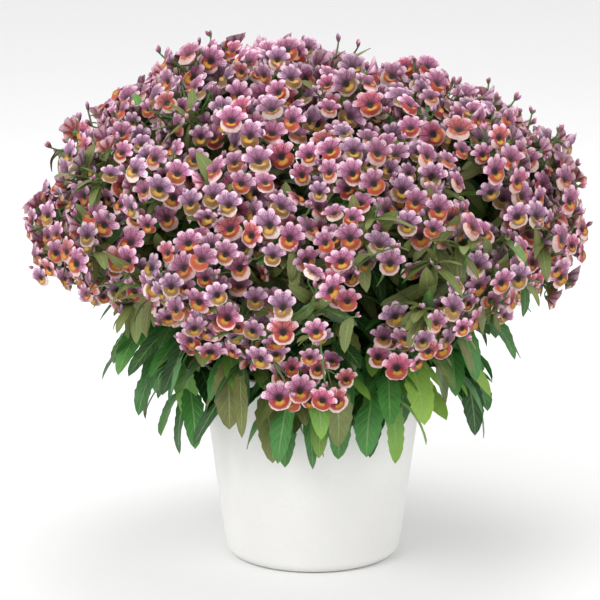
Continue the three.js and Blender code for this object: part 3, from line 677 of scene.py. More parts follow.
    def fit_leaf(
        self, owner: int, base: Array, along: Array, sideways: Array, habit: LeafHabit
    ) -> Leaf | None:
        """Tries a leaf at its place, then swung, drooped and shortened by turns until it lies clear.

        Args:
            owner: Owner number of what carries it.
            base: Where it grows.
            along: Direction of the shoot there.
            sideways: Direction square to the shoot on the leaf's side.
            habit: How it stands.

        Returns:
            The leaf, or None if every try crossed something.
        """
        for attempt in range(self.leaf_tries):
            spread = self.leaf_swing + self.leaf_swing_growth * attempt
            swing = math.radians(self.draws.around(habit.splay, spread))
            tilt = math.radians(self.draws.around(habit.lift, spread))
            level = along * math.cos(swing) + sideways * math.sin(swing)
            across = unit(np.cross(level, UP))
            square = unit(np.cross(across, level))
            forward = unit(level) * math.cos(tilt) + square * math.sin(tilt)
            normal = unit(np.cross(across, forward))
            size = habit.length * self.leaf_shrink**attempt
            bend = math.radians(self.draws.around(habit.droop, self.leaf_droop_spread))
            leaf = Leaf(base, forward, normal, size, bend)
            centres = leaf.places(self.SPHERE_SHARES)
            radii = size * self.leaf_width_share / 2 * self.SPHERE_WIDTHS
            if self.ground.is_clear(centres, radii, owner, self.leaf_margin) and self.off_pot(centres, radii):
                self.ground.occupy(centres, radii, owner)
                return leaf
        return None

    def off_pot(self, centres: Array, radii: Array) -> bool:
        """Whether spheres lie above the pot's rim or outside its wall."""
        distance = np.hypot(centres[:, 0], centres[:, 1])
        wall = self.pot.base_radius + self.pot.taper * centres[:, 2]
        above = centres[:, 2] > self.pot.height + radii + self.pot_margin
        return bool((above | (distance > wall + radii / 2 + self.pot_margin)).all())


# Forms, as whole arrays of places in millimetres

PATTERN_MIDDLE = 0.5
PATTERN_REACH = 0.45


class Space(Enum):
    """What a pattern is laid out in: object coordinates, or one of a piece's own UV maps."""

    OBJECT = "Object"
    PATTERN = "pattern"
    GROWTH = "growth"


@dataclass(frozen=True)
class Loft:
    """Closed forms of one kind, each a tube of rings with both ends capped.

    Attributes:
        places: Shape (forms, rings, sides, 3), in millimetres.
        pattern: Broadcasts to (forms, rings, sides, 2): where the finish draws on the form, 0 to 1.
        growth: Shape (forms, 2): two draws, mostly from 0 to 1, that tell the forms apart.
        finish: Which of the piece's finishes the forms wear.
    """

    places: Array
    pattern: Array
    growth: Array
    finish: int = 0

    def corners(self, first: int) -> tuple[Array, Array]:
        """Vertex numbers of the faces, which point outwards when the rings turn right-handed.

        Args:
            first: Number of the loft's first vertex.

        Returns:
            The corners of all faces in a row, and the count of corners of each face.
        """
        forms, rings, sides, _ = self.places.shape
        index = first + np.arange(forms * rings * sides).reshape(forms, rings, sides)
        beside = np.roll(index, -1, axis=2)
        quads = np.stack([index[:, :-1], beside[:, :-1], beside[:, 1:], index[:, 1:]], axis=-1)
        caps = np.stack([index[:, 0, ::-1], index[:, -1]], axis=1)
        counts = np.concatenate([np.full(quads.size // 4, 4), np.full(2 * forms, sides)])
        return np.concatenate([quads.ravel(), caps.ravel()]), counts


def loft_object(
    name: str, lofts: Sequence[Loft], finishes: Sequence[bpy.types.Material], crease: float = 50.0
) -> bpy.types.Object:
    """Puts lofts into one mesh object.

    Args:
        name: The piece's name.
        lofts: Its forms.
        finishes: Its materials, by the numbers that the lofts name.
        crease: Edges that turn more than this many degrees are shaded sharp.

    Returns:
        The object, with its place in its mesh and the UV maps "pattern" and "growth".
    """
    lofts = [loft for loft in lofts if loft.places.size]
    sizes = [loft.places.size // 3 for loft in lofts]
    firsts = np.concatenate([[0], np.cumsum(sizes)[:-1]]).astype(int)
    faces = [loft.corners(first) for loft, first in zip(lofts, firsts)]
    corners =np.concatenate([face[0] for face in faces]).astype(np.int32)
    counts = np.concatenate([face[1] for face in faces])
    starts = np.concatenate([[0], np.cumsum(counts)[:-1]]).astype(np.int32)
    worn = np.concatenate([np.full(len(face[1]), loft.finish) for loft, face in zip(lofts, faces)])
    places = np.concatenate([loft.places.reshape(-1, 3) for loft in lofts]) * MM
    shapes = [(*loft.places.shape[:3], 2) for loft in lofts]
    maps = {
        Space.PATTERN: [loft.pattern for loft in lofts],
        Space.GROWTH: [loft.growth[:, None, None] for loft in lofts],
    }
    mesh = bpy.data.meshes.new(name)
    mesh.vertices.add(len(places))
    mesh.vertices.foreach_set("co", places.astype(np.float32).ravel())
    mesh.loops.add(len(corners))
    mesh.loops.foreach_set("vertex_index", corners)
    mesh.polygons.add(len(counts))
    mesh.polygons.foreach_set("loop_start", starts)
    for finish in finishes:
        mesh.materials.append(finish)
    mesh.polygons.foreach_set("material_index", worn.astype(np.int32))
    mesh.update(calc_edges=True)
    mesh.validate()
    mesh.shade_smooth()
    mesh.set_sharp_from_angle(angle=math.radians(crease))
    for space, values in maps.items():
        drawn = [np.broadcast_to(value, shape).reshape(-1, 2) for value, shape in zip(values, shapes)]
        layer = mesh.uv_layers.new(name=space.value)
        layer.uv.foreach_set("vector", np.concatenate(drawn)[corners].astype(np.float32).ravel())
    piece = bpy.data.objects.new(name, mesh)
    bpy.context.scene.collection.objects.link(piece)
    return piece


def tube_loft(
    places: Array, radii: Array, sides: int, growth: Array, finish: int = 0, ridge: float = 0.0
) -> Loft:
    """Tubes along paths: at each place a ring square to the path, r (1 + ridge cos 4 turn) round it.

    Args:
        places: Paths, shape (forms, rings, 3).
        radii: Radii, broadcastable to (forms, rings).
        sides: Sides of each ring.
        growth: Draws of each form, shape (forms, 2).
        finish: Number of the finish.
        ridge: How far the four edges of a square stem stand out.

    Returns:
        The tubes, with the turn and the share of the path as their pattern.
    """
    forms, rings, _ = places.shape
    along = unit(np.gradient(places, axis=1))
    middle = unit(along.mean(axis=1))
    least = np.eye(3)[np.argmin(np.abs(middle), axis=1)][:, None]
    right = unit(np.cross(np.broadcast_to(least, along.shape), along))
    over = np.cross(along, right)
    turn = 2 * math.pi * np.arange(sides) / sides
    reach = np.broadcast_to(radii, (forms, rings))[..., None] * (1 + ridge * np.cos(4 * turn))
    ring = (
        np.cos(turn)[:, None] * right[:, :, None] + np.sin(turn)[:, None] * over[:, :, None]
    ) * reach[..., None]
    share = np.broadcast_to(np.linspace(0, 1, rings)[:, None], (rings, sides))
    pattern = np.stack([np.broadcast_to(turn / (2 * math.pi), (rings, sides)), share], axis=-1)
    return Loft(places[:, :, None] + ring, pattern, growth, finish)


def arcs(start: Array, leave: Array, end: Array, arrive: Array, rings: int) -> Array:
    """Cubic curves between places, as their four Bernstein weights.

    Args:
        start: First places, shape (n, 3).
        leave: How the curves leave them, as directions with a length.
        end: Last places.
        arrive: How the curves reach them.
        rings: Places along each curve.

    Returns:
        Shape (n, rings, 3).
    """
    t = np.linspace(0, 1, rings)[None, :, None]
    a, b, c, d = (p[:, None] for p in (start, start + leave, end - arrive, end))
    return (1 - t) ** 3 * a + 3 * (1 - t) ** 2 * t * b + 3 * (1 - t) * t * t * c + t**3 * d


@dataclass(frozen=True)
class Heads:
    """Open blooms: where they stand, how they face and how wide they are.

    Attributes:
        centres: Shape (n, 3).
        facings: Unit vectors, shape (n, 3).
        radii: Half the width of each bloom.
        rolls: Turn of each about its facing, in radians.
        growth: Two draws of each, shape (n, 2).
    """

    centres: Array
    facings: Array
    radii: Array
    rolls: Array
    growth: Array

    def axes(self) -> tuple[Array, Array]:
        """The rolled level and upright directions of each bloom's face."""
        right, over = cross_axes(self.facings)
        cosine, sine = np.cos(self.rolls)[:, None], np.sin(self.rolls)[:, None]
        return right * cosine + over * sine, over * cosine - right * sine

    def pick(self, chosen: Array) -> "Heads":
        """Only the chosen blooms."""
        return Heads(*(getattr(self, entry.name)[chosen] for entry in fields(self)))

    def places(self, x: Array, y: Array, z: Array) -> Array:
        """Places by each bloom's own axes.

        Args:
            x: Shares of the radius to the right, broadcastable to (n, rings, sides).
            y: The same upwards over the face.
            z: The same along the facing.

        Returns:
            The centre plus the radius times (right x + over y + facing z), shape (n, rings, sides, 3).
        """
        right, over = (axis[:, None, None] for axis in self.axes())
        offset = x[..., None] * right + y[..., None] * over + z[..., None] * self.facings[:, None, None]
        return self.centres[:, None, None] + self.radii[:, None, None, None] * offset


@dataclass(frozen=True)
class BloomForm:
    """A two-lipped bloom with thin petals, as shares of its radius.

    Angles run clockwise from upright, in degrees. Four lobes fan out above, and one shorter lip hangs below,
    raised near the throat into a palate. Each bloom's draws sway its lobes and lip a little.

    LEVELS holds what the fan, its lobes and the lip add to the height at the throat, half way out and at the
    rim. WAVES turns the two draws of a bloom into four waves.
    """

    lobe_angle: float = 42.0
    fan_angle: float = 84.0
    steps_per_lobe: int = 4
    lip_angles: tuple[float, ...] = (104.0, 127.0, 153.0, 180.0, 207.0, 233.0, 256.0)
    notch: float = 0.78
    side_cut: float = 0.72
    lobe_roundness: float = 0.55
    lip_reach: float = 0.75
    lip_shoulder: float = 0.2
    lip_notch: float = 0.07
    lip_notch_width: float = 0.2
    throat_reach: float = 0.15
    throat_lip: float = 0.03
    middle_reach: float = 0.56
    palate_rise: float = 0.2
    palate_spread: float = 0.7
    tube_depth: float = 0.5
    tube_radius: float = 0.2
    tube_pattern: float = 0.6
    fan_sway: float = 0.16
    lip_droop: float = 0.12
    lip_sway: float = 0.14
    ripple: float = 0.08
    stretch: float = 0.06
    sepals: int = 5
    calyx_reaches: tuple[float, ...] = (0.05, 0.17, 0.26)
    calyx_backs: tuple[float, ...] = (0.3, 0.16, -0.06)
    stalk_gap: float = 0.28

    LEVELS = ((-0.16, 0.0, -0.05), (0.0, 0.1, 0.0), (0.02, -0.06, -0.08))
    WAVES = np.array([[91.0, 57.0, 133.0, 71.0], [23.0, 117.0, 49.0, 151.0]])

    @property
    def angles(self) -> Array:
        """Angles of the sides: even steps over the fan, then those of the lip."""
        count = round(2 * self.fan_angle / self.lobe_angle) * self.steps_per_lobe + 1
        return np.concatenate([np.linspace(-self.fan_angle, self.fan_angle, count), self.lip_angles])

    def lobes(self, angles: Array) -> Array:
        """1 down the middle of each lobe and 0 at its sides, as a sine."""
        return np.abs(np.sin(math.pi * angles / self.lobe_angle))

    def outline(self, angles: Array) -> Array:
        """Reach of the rim.

        Args:
            angles: Angles from upright.

        Returns:
            A power of a sine for the lobes, and for the lip a blunt cubic with a Gaussian notch.
        """
        fan = self.notch + (1 - self.notch) * self.lobes(angles) ** self.lobe_roundness
        fan = fan * np.where(np.abs(angles) > self.fan_angle - 1, self.side_cut, 1.0)
        across = (angles - 180.0) / (180.0 - self.fan_angle)
        lip = self.lip_reach - self.lip_shoulder * np.abs(across) ** 3
        lip = lip - self.lip_notch * np.exp(-((across / self.lip_notch_width) ** 2))
        return np.where(np.abs(angles) <= self.fan_angle, fan, lip)

    def loft(self, heads: Heads, finish: int) -> Loft:
        """Blooms as rings from the throat out to the rim and back behind the petals to the tube.

        Args:
            heads: Where the blooms stand.
            finish: Number of the finish.

        Returns:
            The blooms, with the plane of the face as their pattern.
        """
        angles = self.angles
        turn = np.radians(angles)
        rim = self.outline(angles)
        fan = (np.abs(angles) <= self.fan_angle).astype(float)
        lobe, lip = self.lobes(angles) * fan, 1 - fan
        throat = self.throat_reach + self.throat_lip * lip
        reach = np.stack([throat, self.middle_reach * rim, rim, np.full_like(rim, self.tube_radius)])
        level = np.zeros_like(reach)
        for ring, (by_fan, by_lobe, by_lip) in enumerate(self.LEVELS):
            level[ring] = by_fan * fan + by_lobe * lobe + by_lip * lip
        level[1] += self.palate_rise * lip * np.cos(math.radians(self.palate_spread) * (angles - 180)) ** 2
        wave = np.sin(heads.growth @ self.WAVES)[:, :, None, None]
        droop = self.lip_droop + self.lip_sway * wave[:, 1]
        outer = reach**2
        height = level + outer * (self.fan_sway * wave[:, 0] * fan - droop * lip)
        height = height + self.ripple * outer * np.sin(3 * turn + 4 * wave[:, 2])
        height[:, 3] = -self.tube_depth
        stretch = 1 + self.stretch * wave[:, 3]
        places = heads.places(reach * np.sin(turn) * stretch, reach * np.cos(turn) / stretch, height)
        drawn = np.stack([*reach[:3], self.tube_pattern * rim])
        face = np.stack([drawn * np.sin(turn), drawn * np.cos(turn)], axis=-1)
        return Loft(places, PATTERN_MIDDLE + PATTERN_REACH * face, heads.growth, finish)

    def foot(self, heads: Heads) -> Array:
        """Where each bloom's stalk reaches its calyx."""
        return heads.centres - heads.facings * (heads.radii * (self.tube_depth + self.stalk_gap))[:, None]

    def calyxes(self, heads: Heads, finish: int) -> Loft:
        """Cups of sepals that hold the tubes.

        Args:
            heads: Where the blooms stand.
            finish: Number of the finish.

        Returns:
            Rings that widen from the stalk towards the face.
        """
        reach = np.array(self.calyx_reaches)[:, None]
        back = self.tube_depth + np.array(self.calyx_backs)[:, None]
        turn = -2 * math.pi * np.arange(self.sepals) / self.sepals
        x, y, z = np.broadcast_arrays((reach * np.sin(turn))[None], (reach * np.cos(turn))[None], -back[None])
        return Loft(heads.places(x, y, z), np.full((1, 1, 2), PATTERN_MIDDLE), heads.growth, finish)


@dataclass(frozen=True)
class BudForm:
    """A closed bud: a spindle whose radius follows a skewed hump along its length."""

    length: float = 6.4
    radius: float = 1.75
    rings: int = 5
    sides: int = 6

    def loft(self, feet: Array, aims: Array, sizes: Array, growth: Array, finish: int) -> Loft:
        """Buds from their feet along their aims.

        Args:
            feet: Where they grow, shape (n, 3).
            aims: Unit directions, shape (n, 3).
            sizes: Share of the full size of each.
            growth: Draws of each, shape (n, 2).
            finish: Number of the finish.

        Returns:
            Spindles with radius t to the 0.6 times (1 - t) to the 0.8, kept open at both ends. Their pattern
            lies on the upper lobes of a bloom's face, so that they wear its colours.
        """
        share = np.linspace(0.04, 0.97, self.rings)
        bulge = share**0.6 * (1 - share) ** 0.8
        radius = self.radius * bulge / bulge.max()
        places = feet[:, None] + aims[:, None] * (sizes[:, None] * self.length * share)[..., None]
        made = tube_loft(places, sizes[:, None] * radius, self.sides, growth, finish)
        pattern = np.stack([np.full_like(share, PATTERN_MIDDLE), 0.72 + 0.2 * share], axis=-1)
        return replace(made, pattern=pattern[:, None])


@dataclass(frozen=True)
class LeafForm:
    """A lanceolate toothed leaf, thin at its edge and folded up a little along its midrib.

    Attributes:
        width_share: Full width as a share of the length.
        cupping: Rise of the edge as a share of the half width.
        rib_thickness: Thickness at the midrib, in millimetres.
        edge_thickness: Least thickness, in millimetres.
        tooth_depth: How far the notches between teeth cut in, as a share of the half width.
        tooth_lean: How far the notches lean towards the tip, in rings.
        teeth: Teeth along each side.
        across: Places across the blade, from 1 at one edge to -1 at the other.
        wave: Waving of the edge, as a share of the half width.
        wave_turn: How far the waving turns along the leaf, in radians.
        foot_width: Width at the foot, as a share of the widest.
        tip_width: Width at the tip, as a share of the widest.
    """

    width_share: float = 0.35
    cupping: float = 0.16
    rib_thickness: float = 1.0
    edge_thickness: float = 0.08
    tooth_depth: float = 0.2
    tooth_lean: float = 0.35
    teeth: int = 7
    across: tuple[float, ...] = (1.0, 0.5, 0.0, -0.5, -1.0)
    wave: float = 0.1
    wave_turn: float = 9.0
    foot_width: float = 0.05
    tip_width: float = 0.012

    def loft(self, leaves: Sequence[Leaf], growth: Array, finish: int) -> Loft:
        """Leaves as closed sections carried along their bent midribs.

        Args:
            leaves: Where they grow.
            growth: Draws of each, shape (n, 2).
            finish: Number of the finish.

        Returns:
            Half width t to the 0.55 times (1 - t) to the 0.75, cut by teeth, with the place across and
            along the blade as the pattern.
        """
        rings = 2 * self.teeth + 3
        share = np.linspace(0.0, 1.0, rings)[:, None]
        hump = share**0.55 * (1 - share) ** 0.75
        width = self.foot_width + (1 - self.foot_width) * hump / hump.max()
        width[-1] = self.tip_width
        notched = np.zeros((rings, 1))
        notched[2:-1:2] = 1.0
        across = np.array(self.across + self.across[-2:0:-1])
        face = np.where(np.arange(len(across)) < len(self.across), 1.0, -1.0)
        edge = np.abs(across) ** 3
        reach = width * (1 - self.tooth_depth * notched * edge)
        lengths, droops = (
            np.array([getattr(leaf, name) for leaf in leaves])[:, None, None] for name in ("length", "droop")
        )
        bases, forwards, normals = (
            np.array([getattr(leaf, name) for leaf in leaves])[:, None, None]
            for name in ("base", "forward", "normal")
        )
        sides = np.cross(normals, forwards)
        half = lengths * self.width_share / 2
        along = np.clip(share + self.tooth_lean / rings * notched * edge, 0.0, 1.0)
        bend = droops * along
        ahead = lengths / droops * np.sin(bend)
        down = lengths / droops * (1 - np.cos(bend))
        phase = growth[:, :1, None] * 2 * math.pi
        waving = self.wave * edge * np.sin(self.wave_turn * share + phase + across)
        rib = self.rib_thickness * (0.5 + 0.5 * (1 - share)) * (1 - np.abs(across)) + self.edge_thickness
        lift = half * reach * (self.cupping * np.abs(across) + waving)
        lift = lift + rib / 2 * face * np.where(np.abs(across) == 1, 0.0, 1.0)
        local_normal = normals * np.cos(bend)[..., None] + forwards * np.sin(bend)[..., None]
        places = (
            bases
            + forwards * ahead[..., None]
            - normals * down[..., None]
            + sides * (half * reach * across)[..., None]
            + local_normal * lift[..., None]
        )
        pattern = np.stack([np.broadcast_to(0.5 + 0.5 * across, along.shape), along], axis=-1)
        return Loft(places, pattern, growth, finish)


# Shader maths


def operator(operation: str, reflected: bool = False) -> Callable[..., "Shade"]:
    """Makes a method of Shade that adds a Math node.

    Args:
        operation: The node's operation.
        reflected: Whether the other operand comes first.

    Returns:
        The method, which takes the other operand, if any, and gives the node's output.
    """

    def method(shade: "Shade", *others: "Shade | float") -> "Shade":
        """Adds the Math node."""
        operands = (*others, shade) if reflected else (shade, *others)
        return shade.sheet.node("ShaderNodeMath", {"operation": operation}, dict(enumerate(operands)))

    return method


class Shade:
    """A socket in shader maths, whose operators add Math nodes."""

    __add__, __radd__ = operator("ADD"), operator("ADD", reflected=True)
    __sub__, __rsub__ = operator("SUBTRACT"), operator("SUBTRACT", reflected=True)
    __mul__, __rmul__ = operator("MULTIPLY"), operator("MULTIPLY", reflected=True)
    __truediv__, __rtruediv__ = operator("DIVIDE"), operator("DIVIDE", reflected=True)
    __pow__, __abs__ = operator("POWER"), operator("ABSOLUTE")
    sine, angle_to = operator("SINE"), operator("ARCTAN2")

    def __init__(self, sheet: "NodeSheet", socket: bpy.types.NodeSocket) -> None:
        """Wraps an output socket of a sheet."""
        self.sheet = sheet
        self.socket = socket

    def step(self, low: float, high: float) -> "Shade":
        """A smooth step from 0 at low to 1 at high, in whichever order they come."""
        rising = low < high
        ends = {1: min(low, high), 2: max(low, high), 3: float(not rising), 4: float(rising)}
        return self.sheet.node("ShaderNodeMapRange", {"interpolation_type": "SMOOTHSTEP"}, {0: self, **ends})


def ink(code: str) -> tuple[float, float, float, float]:
    """A linear colour from a display code such as "#a0b0c0"."""
    levels = [int(code[i : i + 2], 16) / 255 for i in (1, 3, 5)]
    red, green, blue = (v / 12.92 if v <= 0.04045 else ((v + 0.055) / 1.055) ** 2.4 for v in levels)
    return red, green, blue, 1.0


class NodeSheet:
    """A material with a Principled surface, and the one way in which nodes are added to it."""

    def __init__(self, name: str, **constants: float) -> None:
        """Makes the material.

        Args:
            name: The material's name.
            constants: Values of the surface's sockets, with underscores for spaces.
        """
        self.material = bpy.data.materials.new(name)
        self.material.use_nodes = True
        self.tree = self.material.node_tree
        self.tree.nodes.clear()
        inputs = {key.replace("_", " "): value for key, value in constants.items()}
        surface = self.node("ShaderNodeBsdfPrincipled", inputs=inputs)
        self.surface = surface.socket.node
        self.node("ShaderNodeOutputMaterial", inputs={"Surface": surface})

    def node(
        self,
        kind: str,
        settings: dict[str, object] | None = None,
        inputs: dict[str | int, object] | None = None,
        output: str | int = 0,
    ) -> Shade | None:
        """Adds a node.

        Args:
            kind: Its type.
            settings: Its own properties, set first.
            inputs: Values, display codes or links of its sockets, by name or number.
            output: Which output to wrap.

        Returns:
            The wrapped output, or None for a node that has none.
        """
        made = self.tree.nodes.new(kind)
        for key, value in (settings or {}).items():
            setattr(made, key, value)
        for key, value in (inputs or {}).items():
            if isinstance(value, Shade):
                self.tree.links.new(value.socket, made.inputs[key])
            else:
                made.inputs[key].default_value = ink(value) if isinstance(value, str) else value
        return Shade(self, made.outputs[output]) if made.outputs else None

    def dress(self, colour: Shade, roughness: Shade, relief: Shade, strength: float, depth: float) -> None:
        """Feeds the surface.

        Args:
            colour: Its base colour.
            roughness: Its roughness.
            relief: Its height, which tilts the normal.
            strength: Strength of the relief, 0 to 1.
            depth: Depth of the relief, in metres.
        """
        bump = {"Height": relief, "Strength": strength, "Distance": depth}
        normal = self.node("ShaderNodeBump", inputs=bump)
        for socket, shade in (("Base Color", colour), ("Roughness", roughness), ("Normal", normal)):
            self.tree.links.new(shade.socket, self.surface.inputs[socket])

    def coordinates(self, space: Space) -> Shade:
        """The vector of a space: object coordinates, or one of the piece's own maps."""
        if space is Space.OBJECT:
            return self.node("ShaderNodeTexCoord", output=space.value)
        return self.node("ShaderNodeUVMap", {"uv_map": space.value})

    def parts(self, vector: Shade) -> tuple[Shade, Shade, Shade]:
        """The three parts of a vector."""
        split = self.node("ShaderNodeSeparateXYZ", inputs={0: vector}).socket.node
        return tuple(Shade(self, output) for output in split.outputs)

    def scaled(self, vector: Shade, factors: Triple) -> Shade:
        """A vector whose parts are scaled one by one."""
        return self.node("ShaderNodeVectorMath", {"operation": "MULTIPLY"}, {0: vector, 1: factors})

    def noise(self, vector: Shade, scale: float, detail: float = 3.0, roughness: float = 0.5) -> Shade:
        """Fractal noise from 0 to 1."""
        inputs = {"Vector": vector, "Scale": scale, "Detail": detail, "Roughness": roughness}
        return self.node("ShaderNodeTexNoise", inputs=inputs)

    def mix(self, factor: Shade | float, first: object, second: object, blend: str = "MIX") -> Shade:
        """A blend of two colours by a factor."""
        settings = {"data_type": "RGBA", "blend_type": blend, "clamp_factor": True}
        return self.node("ShaderNodeMix", settings, {0: factor, 6: first, 7: second}, output=2)

    def shaded(self, colour: Shade, shade: Shade) -> Shade:
        """A colour scaled by a shade."""
        tone = self.node("ShaderNodeCombineColor", inputs={0: shade, 1: shade, 2: shade})
        return self.mix(1.0, colour, tone, "MULTIPLY")


# Finishes


@dataclass(frozen=True)
class PetalFinish:
    """Velvety petals: dusty mauve lobes with dark purple veins, pale edges and streaks that are partly
    painted highlight, and painted purple shade between the lobes and round the throat, over a small orange
    lip with a cream edge.
    """

    pink: str = "#ad5a84"
    mauve: str = "#93658a"
    rose: str = "#c24c70"
    russet: str = "#b94a44"
    pale_edge_and_highlight: str = "#ecc8d8"
    plum_shade: str = "#552238"
    vein: str = "#46142b"
    coral: str = "#d05632"
    brick: str = "#a4302a"
    bronze: str = "#96703c"
    lip_edge: str = "#eed3cd"
    gold: str = "#eeb435"
    throat: str = "#24060b"
    roughness: float = 0.6
    lobe_angle: float = 42.0
    streak_angle: float = 10.5
    vein_angle: float = 8.4
    lip_reach: float = 0.71

    def stripes(self, angle: Shade, spacing: float, sharpness: float) -> Shade:
        """Stripes that fan out from the throat, as a sine between 0 and 1 raised to a power."""
        return ((angle * (2 * math.pi / spacing)).sine() * 0.5 + 0.5) ** sharpness

    def fan(self, sheet: NodeSheet, warmth: Shade, reach: Shade, angle: Shade, fine: Shade) -> Shade:
        """Colours of the upper lobes.

        Args:
            sheet: The material's nodes.
            warmth: Each bloom's first draw, which picks its base colour.
            reach: Distance from the throat, 1 at the longest lobe.
            angle: Degrees from upright.
            fine: Fine noise.

        Returns:
            Mauve with a pale edge and pale streaks, partly their own paler colour and partly painted
            highlight, painted purple shade between the lobes and towards the throat, and dark veins.
        """
        lobe = abs((angle * (math.pi / self.lobe_angle)).sine())
        base = sheet.mix(warmth.step(0.4, 0.95), self.pink, self.mauve)
        base = sheet.mix(warmth.step(0.16, 0.08), base, self.rose)
        base = sheet.mix(warmth.step(0.08, 0.03), base, self.russet)
        # The pale edge and streaks are partly the petals' own paler colour and partly painted highlight.
        edge = (reach + lobe * 0.1 + fine * 0.4).step(0.9, 1.26)
        streak = self.stripes(angle, self.streak_angle, 3.0) * reach.step(0.25, 0.7) * fine.step(0.4, 0.6)
        # Painted shade: a dark purple line between the lobes, where they meet and shade each other.
        between = lobe.step(0.36, 0.0) * reach.step(0.92, 0.4)
        vein = self.stripes(angle, self.vein_angle, 4.0) * reach.step(0.78, 0.3)
        fan = sheet.mix(edge * 0.92, base, self.pale_edge_and_highlight)
        fan = sheet.mix(streak * 0.75, fan, self.pale_edge_and_highlight)
        fan = sheet.mix(between * 0.65, fan, self.plum_shade)
        fan = sheet.mix(vein * 0.85, fan, self.vein)
        # Painted shade: the lobes darken to purple towards the throat.
        return sheet.mix((reach + fine * 0.12).step(0.52, 0.24), fan, self.plum_shade)

    def lip(
        self, sheet: NodeSheet, warmth: Shade, light: Shade, reach: Shade, angle: Shade, fine: Shade
    ) -> Shade:
        """Colours of the lower lip.

        Args:
            sheet: The material's nodes.
            warmth: Each bloom's first draw.
            light: Each bloom's second draw.
            reach: Distance from the throat.
            angle: Degrees from upright.
            fine: Fine noise.

        Returns:
            Coral to brick, or bronze, with a gold palate and a cream edge whose width differs by bloom.
        """
        base = sheet.mix(light.step(0.3, 0.8), self.coral, self.brick)
        base = sheet.mix(warmth.step(0.52, 0.7), base, self.bronze)
        width = (warmth * 61.0).sine() * 0.5 + 0.5
        rim = (reach + fine * 0.2 + width * 0.18).step(self.lip_reach - 0.02, self.lip_reach + 0.12)
        palate = (reach + fine * 0.1).step(0.5, 0.3) * angle.step(112.0, 142.0)
        return sheet.mix(rim * 0.85, sheet.mix(palate * 0.9, base, self.gold), self.lip_edge)

    def material(self) -> bpy.types.Material:
        """The petals' material, drawn in the plane of each bloom's face.

        Returns:
            Colours by the distance from the throat and the angle from upright, varied by bloom.
        """
        sheet = NodeSheet("petals", Roughness=self.roughness, Sheen_Weight=0.15, Sheen_Roughness=0.5)
        across, up, _ = sheet.parts(sheet.coordinates(Space.PATTERN))
        warmth, light, _ = sheet.parts(sheet.coordinates(Space.GROWTH))
        x, y = ((part - PATTERN_MIDDLE) / PATTERN_REACH for part in (across, up))
        reach = (x * x + y * y) ** 0.5
        angle = abs(x.angle_to(y)) * (180 / math.pi)
        fine = sheet.noise(sheet.coordinates(Space.OBJECT), 800.0, 4.0, 0.65)
        upper = self.fan(sheet, warmth, reach, angle, fine)
        lower = self.lip(sheet, warmth, light, reach, angle, fine)
        whole = sheet.mix(angle.step(84.0, 99.0), upper, lower)
        # Painted shade: the capped throat is coloured near black, standing in for the shade inside the tube.
        whole = sheet.mix(reach.step(0.24, 0.14), whole, self.throat)
        # The shade darkens towards the throat as painted shade, and also differs at random by bloom and by
        # fine noise.
        shade = (light * 0.5 + fine * 0.6 + 0.38) * (reach * 0.35 + 0.73)
        groove = abs((angle * (math.pi / self.lobe_angle)).sine()).step(0.3, 0.0)
        relief = fine * 0.6 + self.stripes(angle, self.streak_angle, 3.0) * 0.5 - groove * 0.7
        sheet.dress(sheet.shaded(whole, shade), fine * 0.2 + (self.roughness - 0.1), relief, 0.5, 0.0008)
        return sheet.material


@dataclass(frozen=True)
class LeafFinish:
    """Leaves from deep to yellow green, with a pale midrib, side veins and a bronze cast on some."""

    deep: str = "#1d481b"
    middle: str = "#3d7b33"
    bright: str = "#86ab3c"
    olive: str = "#76743f"
    rib: str = "#8fae6c"
    roughness: float = 0.42
    vein_count: float = 8.0
    vein_slant: float = 1.9

    def material(self) -> bpy.types.Material:
        """The leaves' material, drawn across and along each blade.

        Returns:
            Greens by leaf and by blotch, with veins that also dent the surface.
        """
        sheet = NodeSheet("leaf_blades", Roughness=self.roughness)
        across, along, _ = sheet.parts(sheet.coordinates(Space.PATTERN))
        tint, age, _ = sheet.parts(sheet.coordinates(Space.GROWTH))
        place = sheet.coordinates(Space.OBJECT)
        blotch = sheet.noise(place, 90.0, 4.0, 0.55)
        grain = sheet.noise(place, 700.0, 3.0, 0.6)
        off_rib = abs(across - 0.5) * 2.0
        slant = ((along * self.vein_count - off_rib * self.vein_slant) * (2 * math.pi)).sine() * 0.5 + 0.5
        side_vein = slant**7.0 * off_rib.step(1.0, 0.6) * off_rib.step(0.02, 0.14)
        midrib = off_rib.step(0.12, 0.03)
        green = sheet.mix((tint + blotch * 0.5 - 0.25).step(0.1, 0.6), self.deep, self.middle)
        green = sheet.mix((tint + along * 0.12).step(0.74, 1.0) * 0.9, green, self.bright)
        green = sheet.mix((age + blotch * 0.3).step(0.95, 1.15) * 0.75, green, self.olive)
        veined = sheet.mix(side_vein * 0.16, green, self.rib)
        veined = sheet.mix(midrib * 0.42, veined, self.rib)
        colour = sheet.shaded(veined, grain * 0.35 + blotch * 0.5 + 0.64)
        relief = grain * 0.15 - side_vein * 0.5 - midrib * 0.8 + blotch * 0.4
        sheet.dress(colour, grain * 0.2 + (self.roughness - 0.05), relief, 0.5, 0.0008)
        return sheet.material


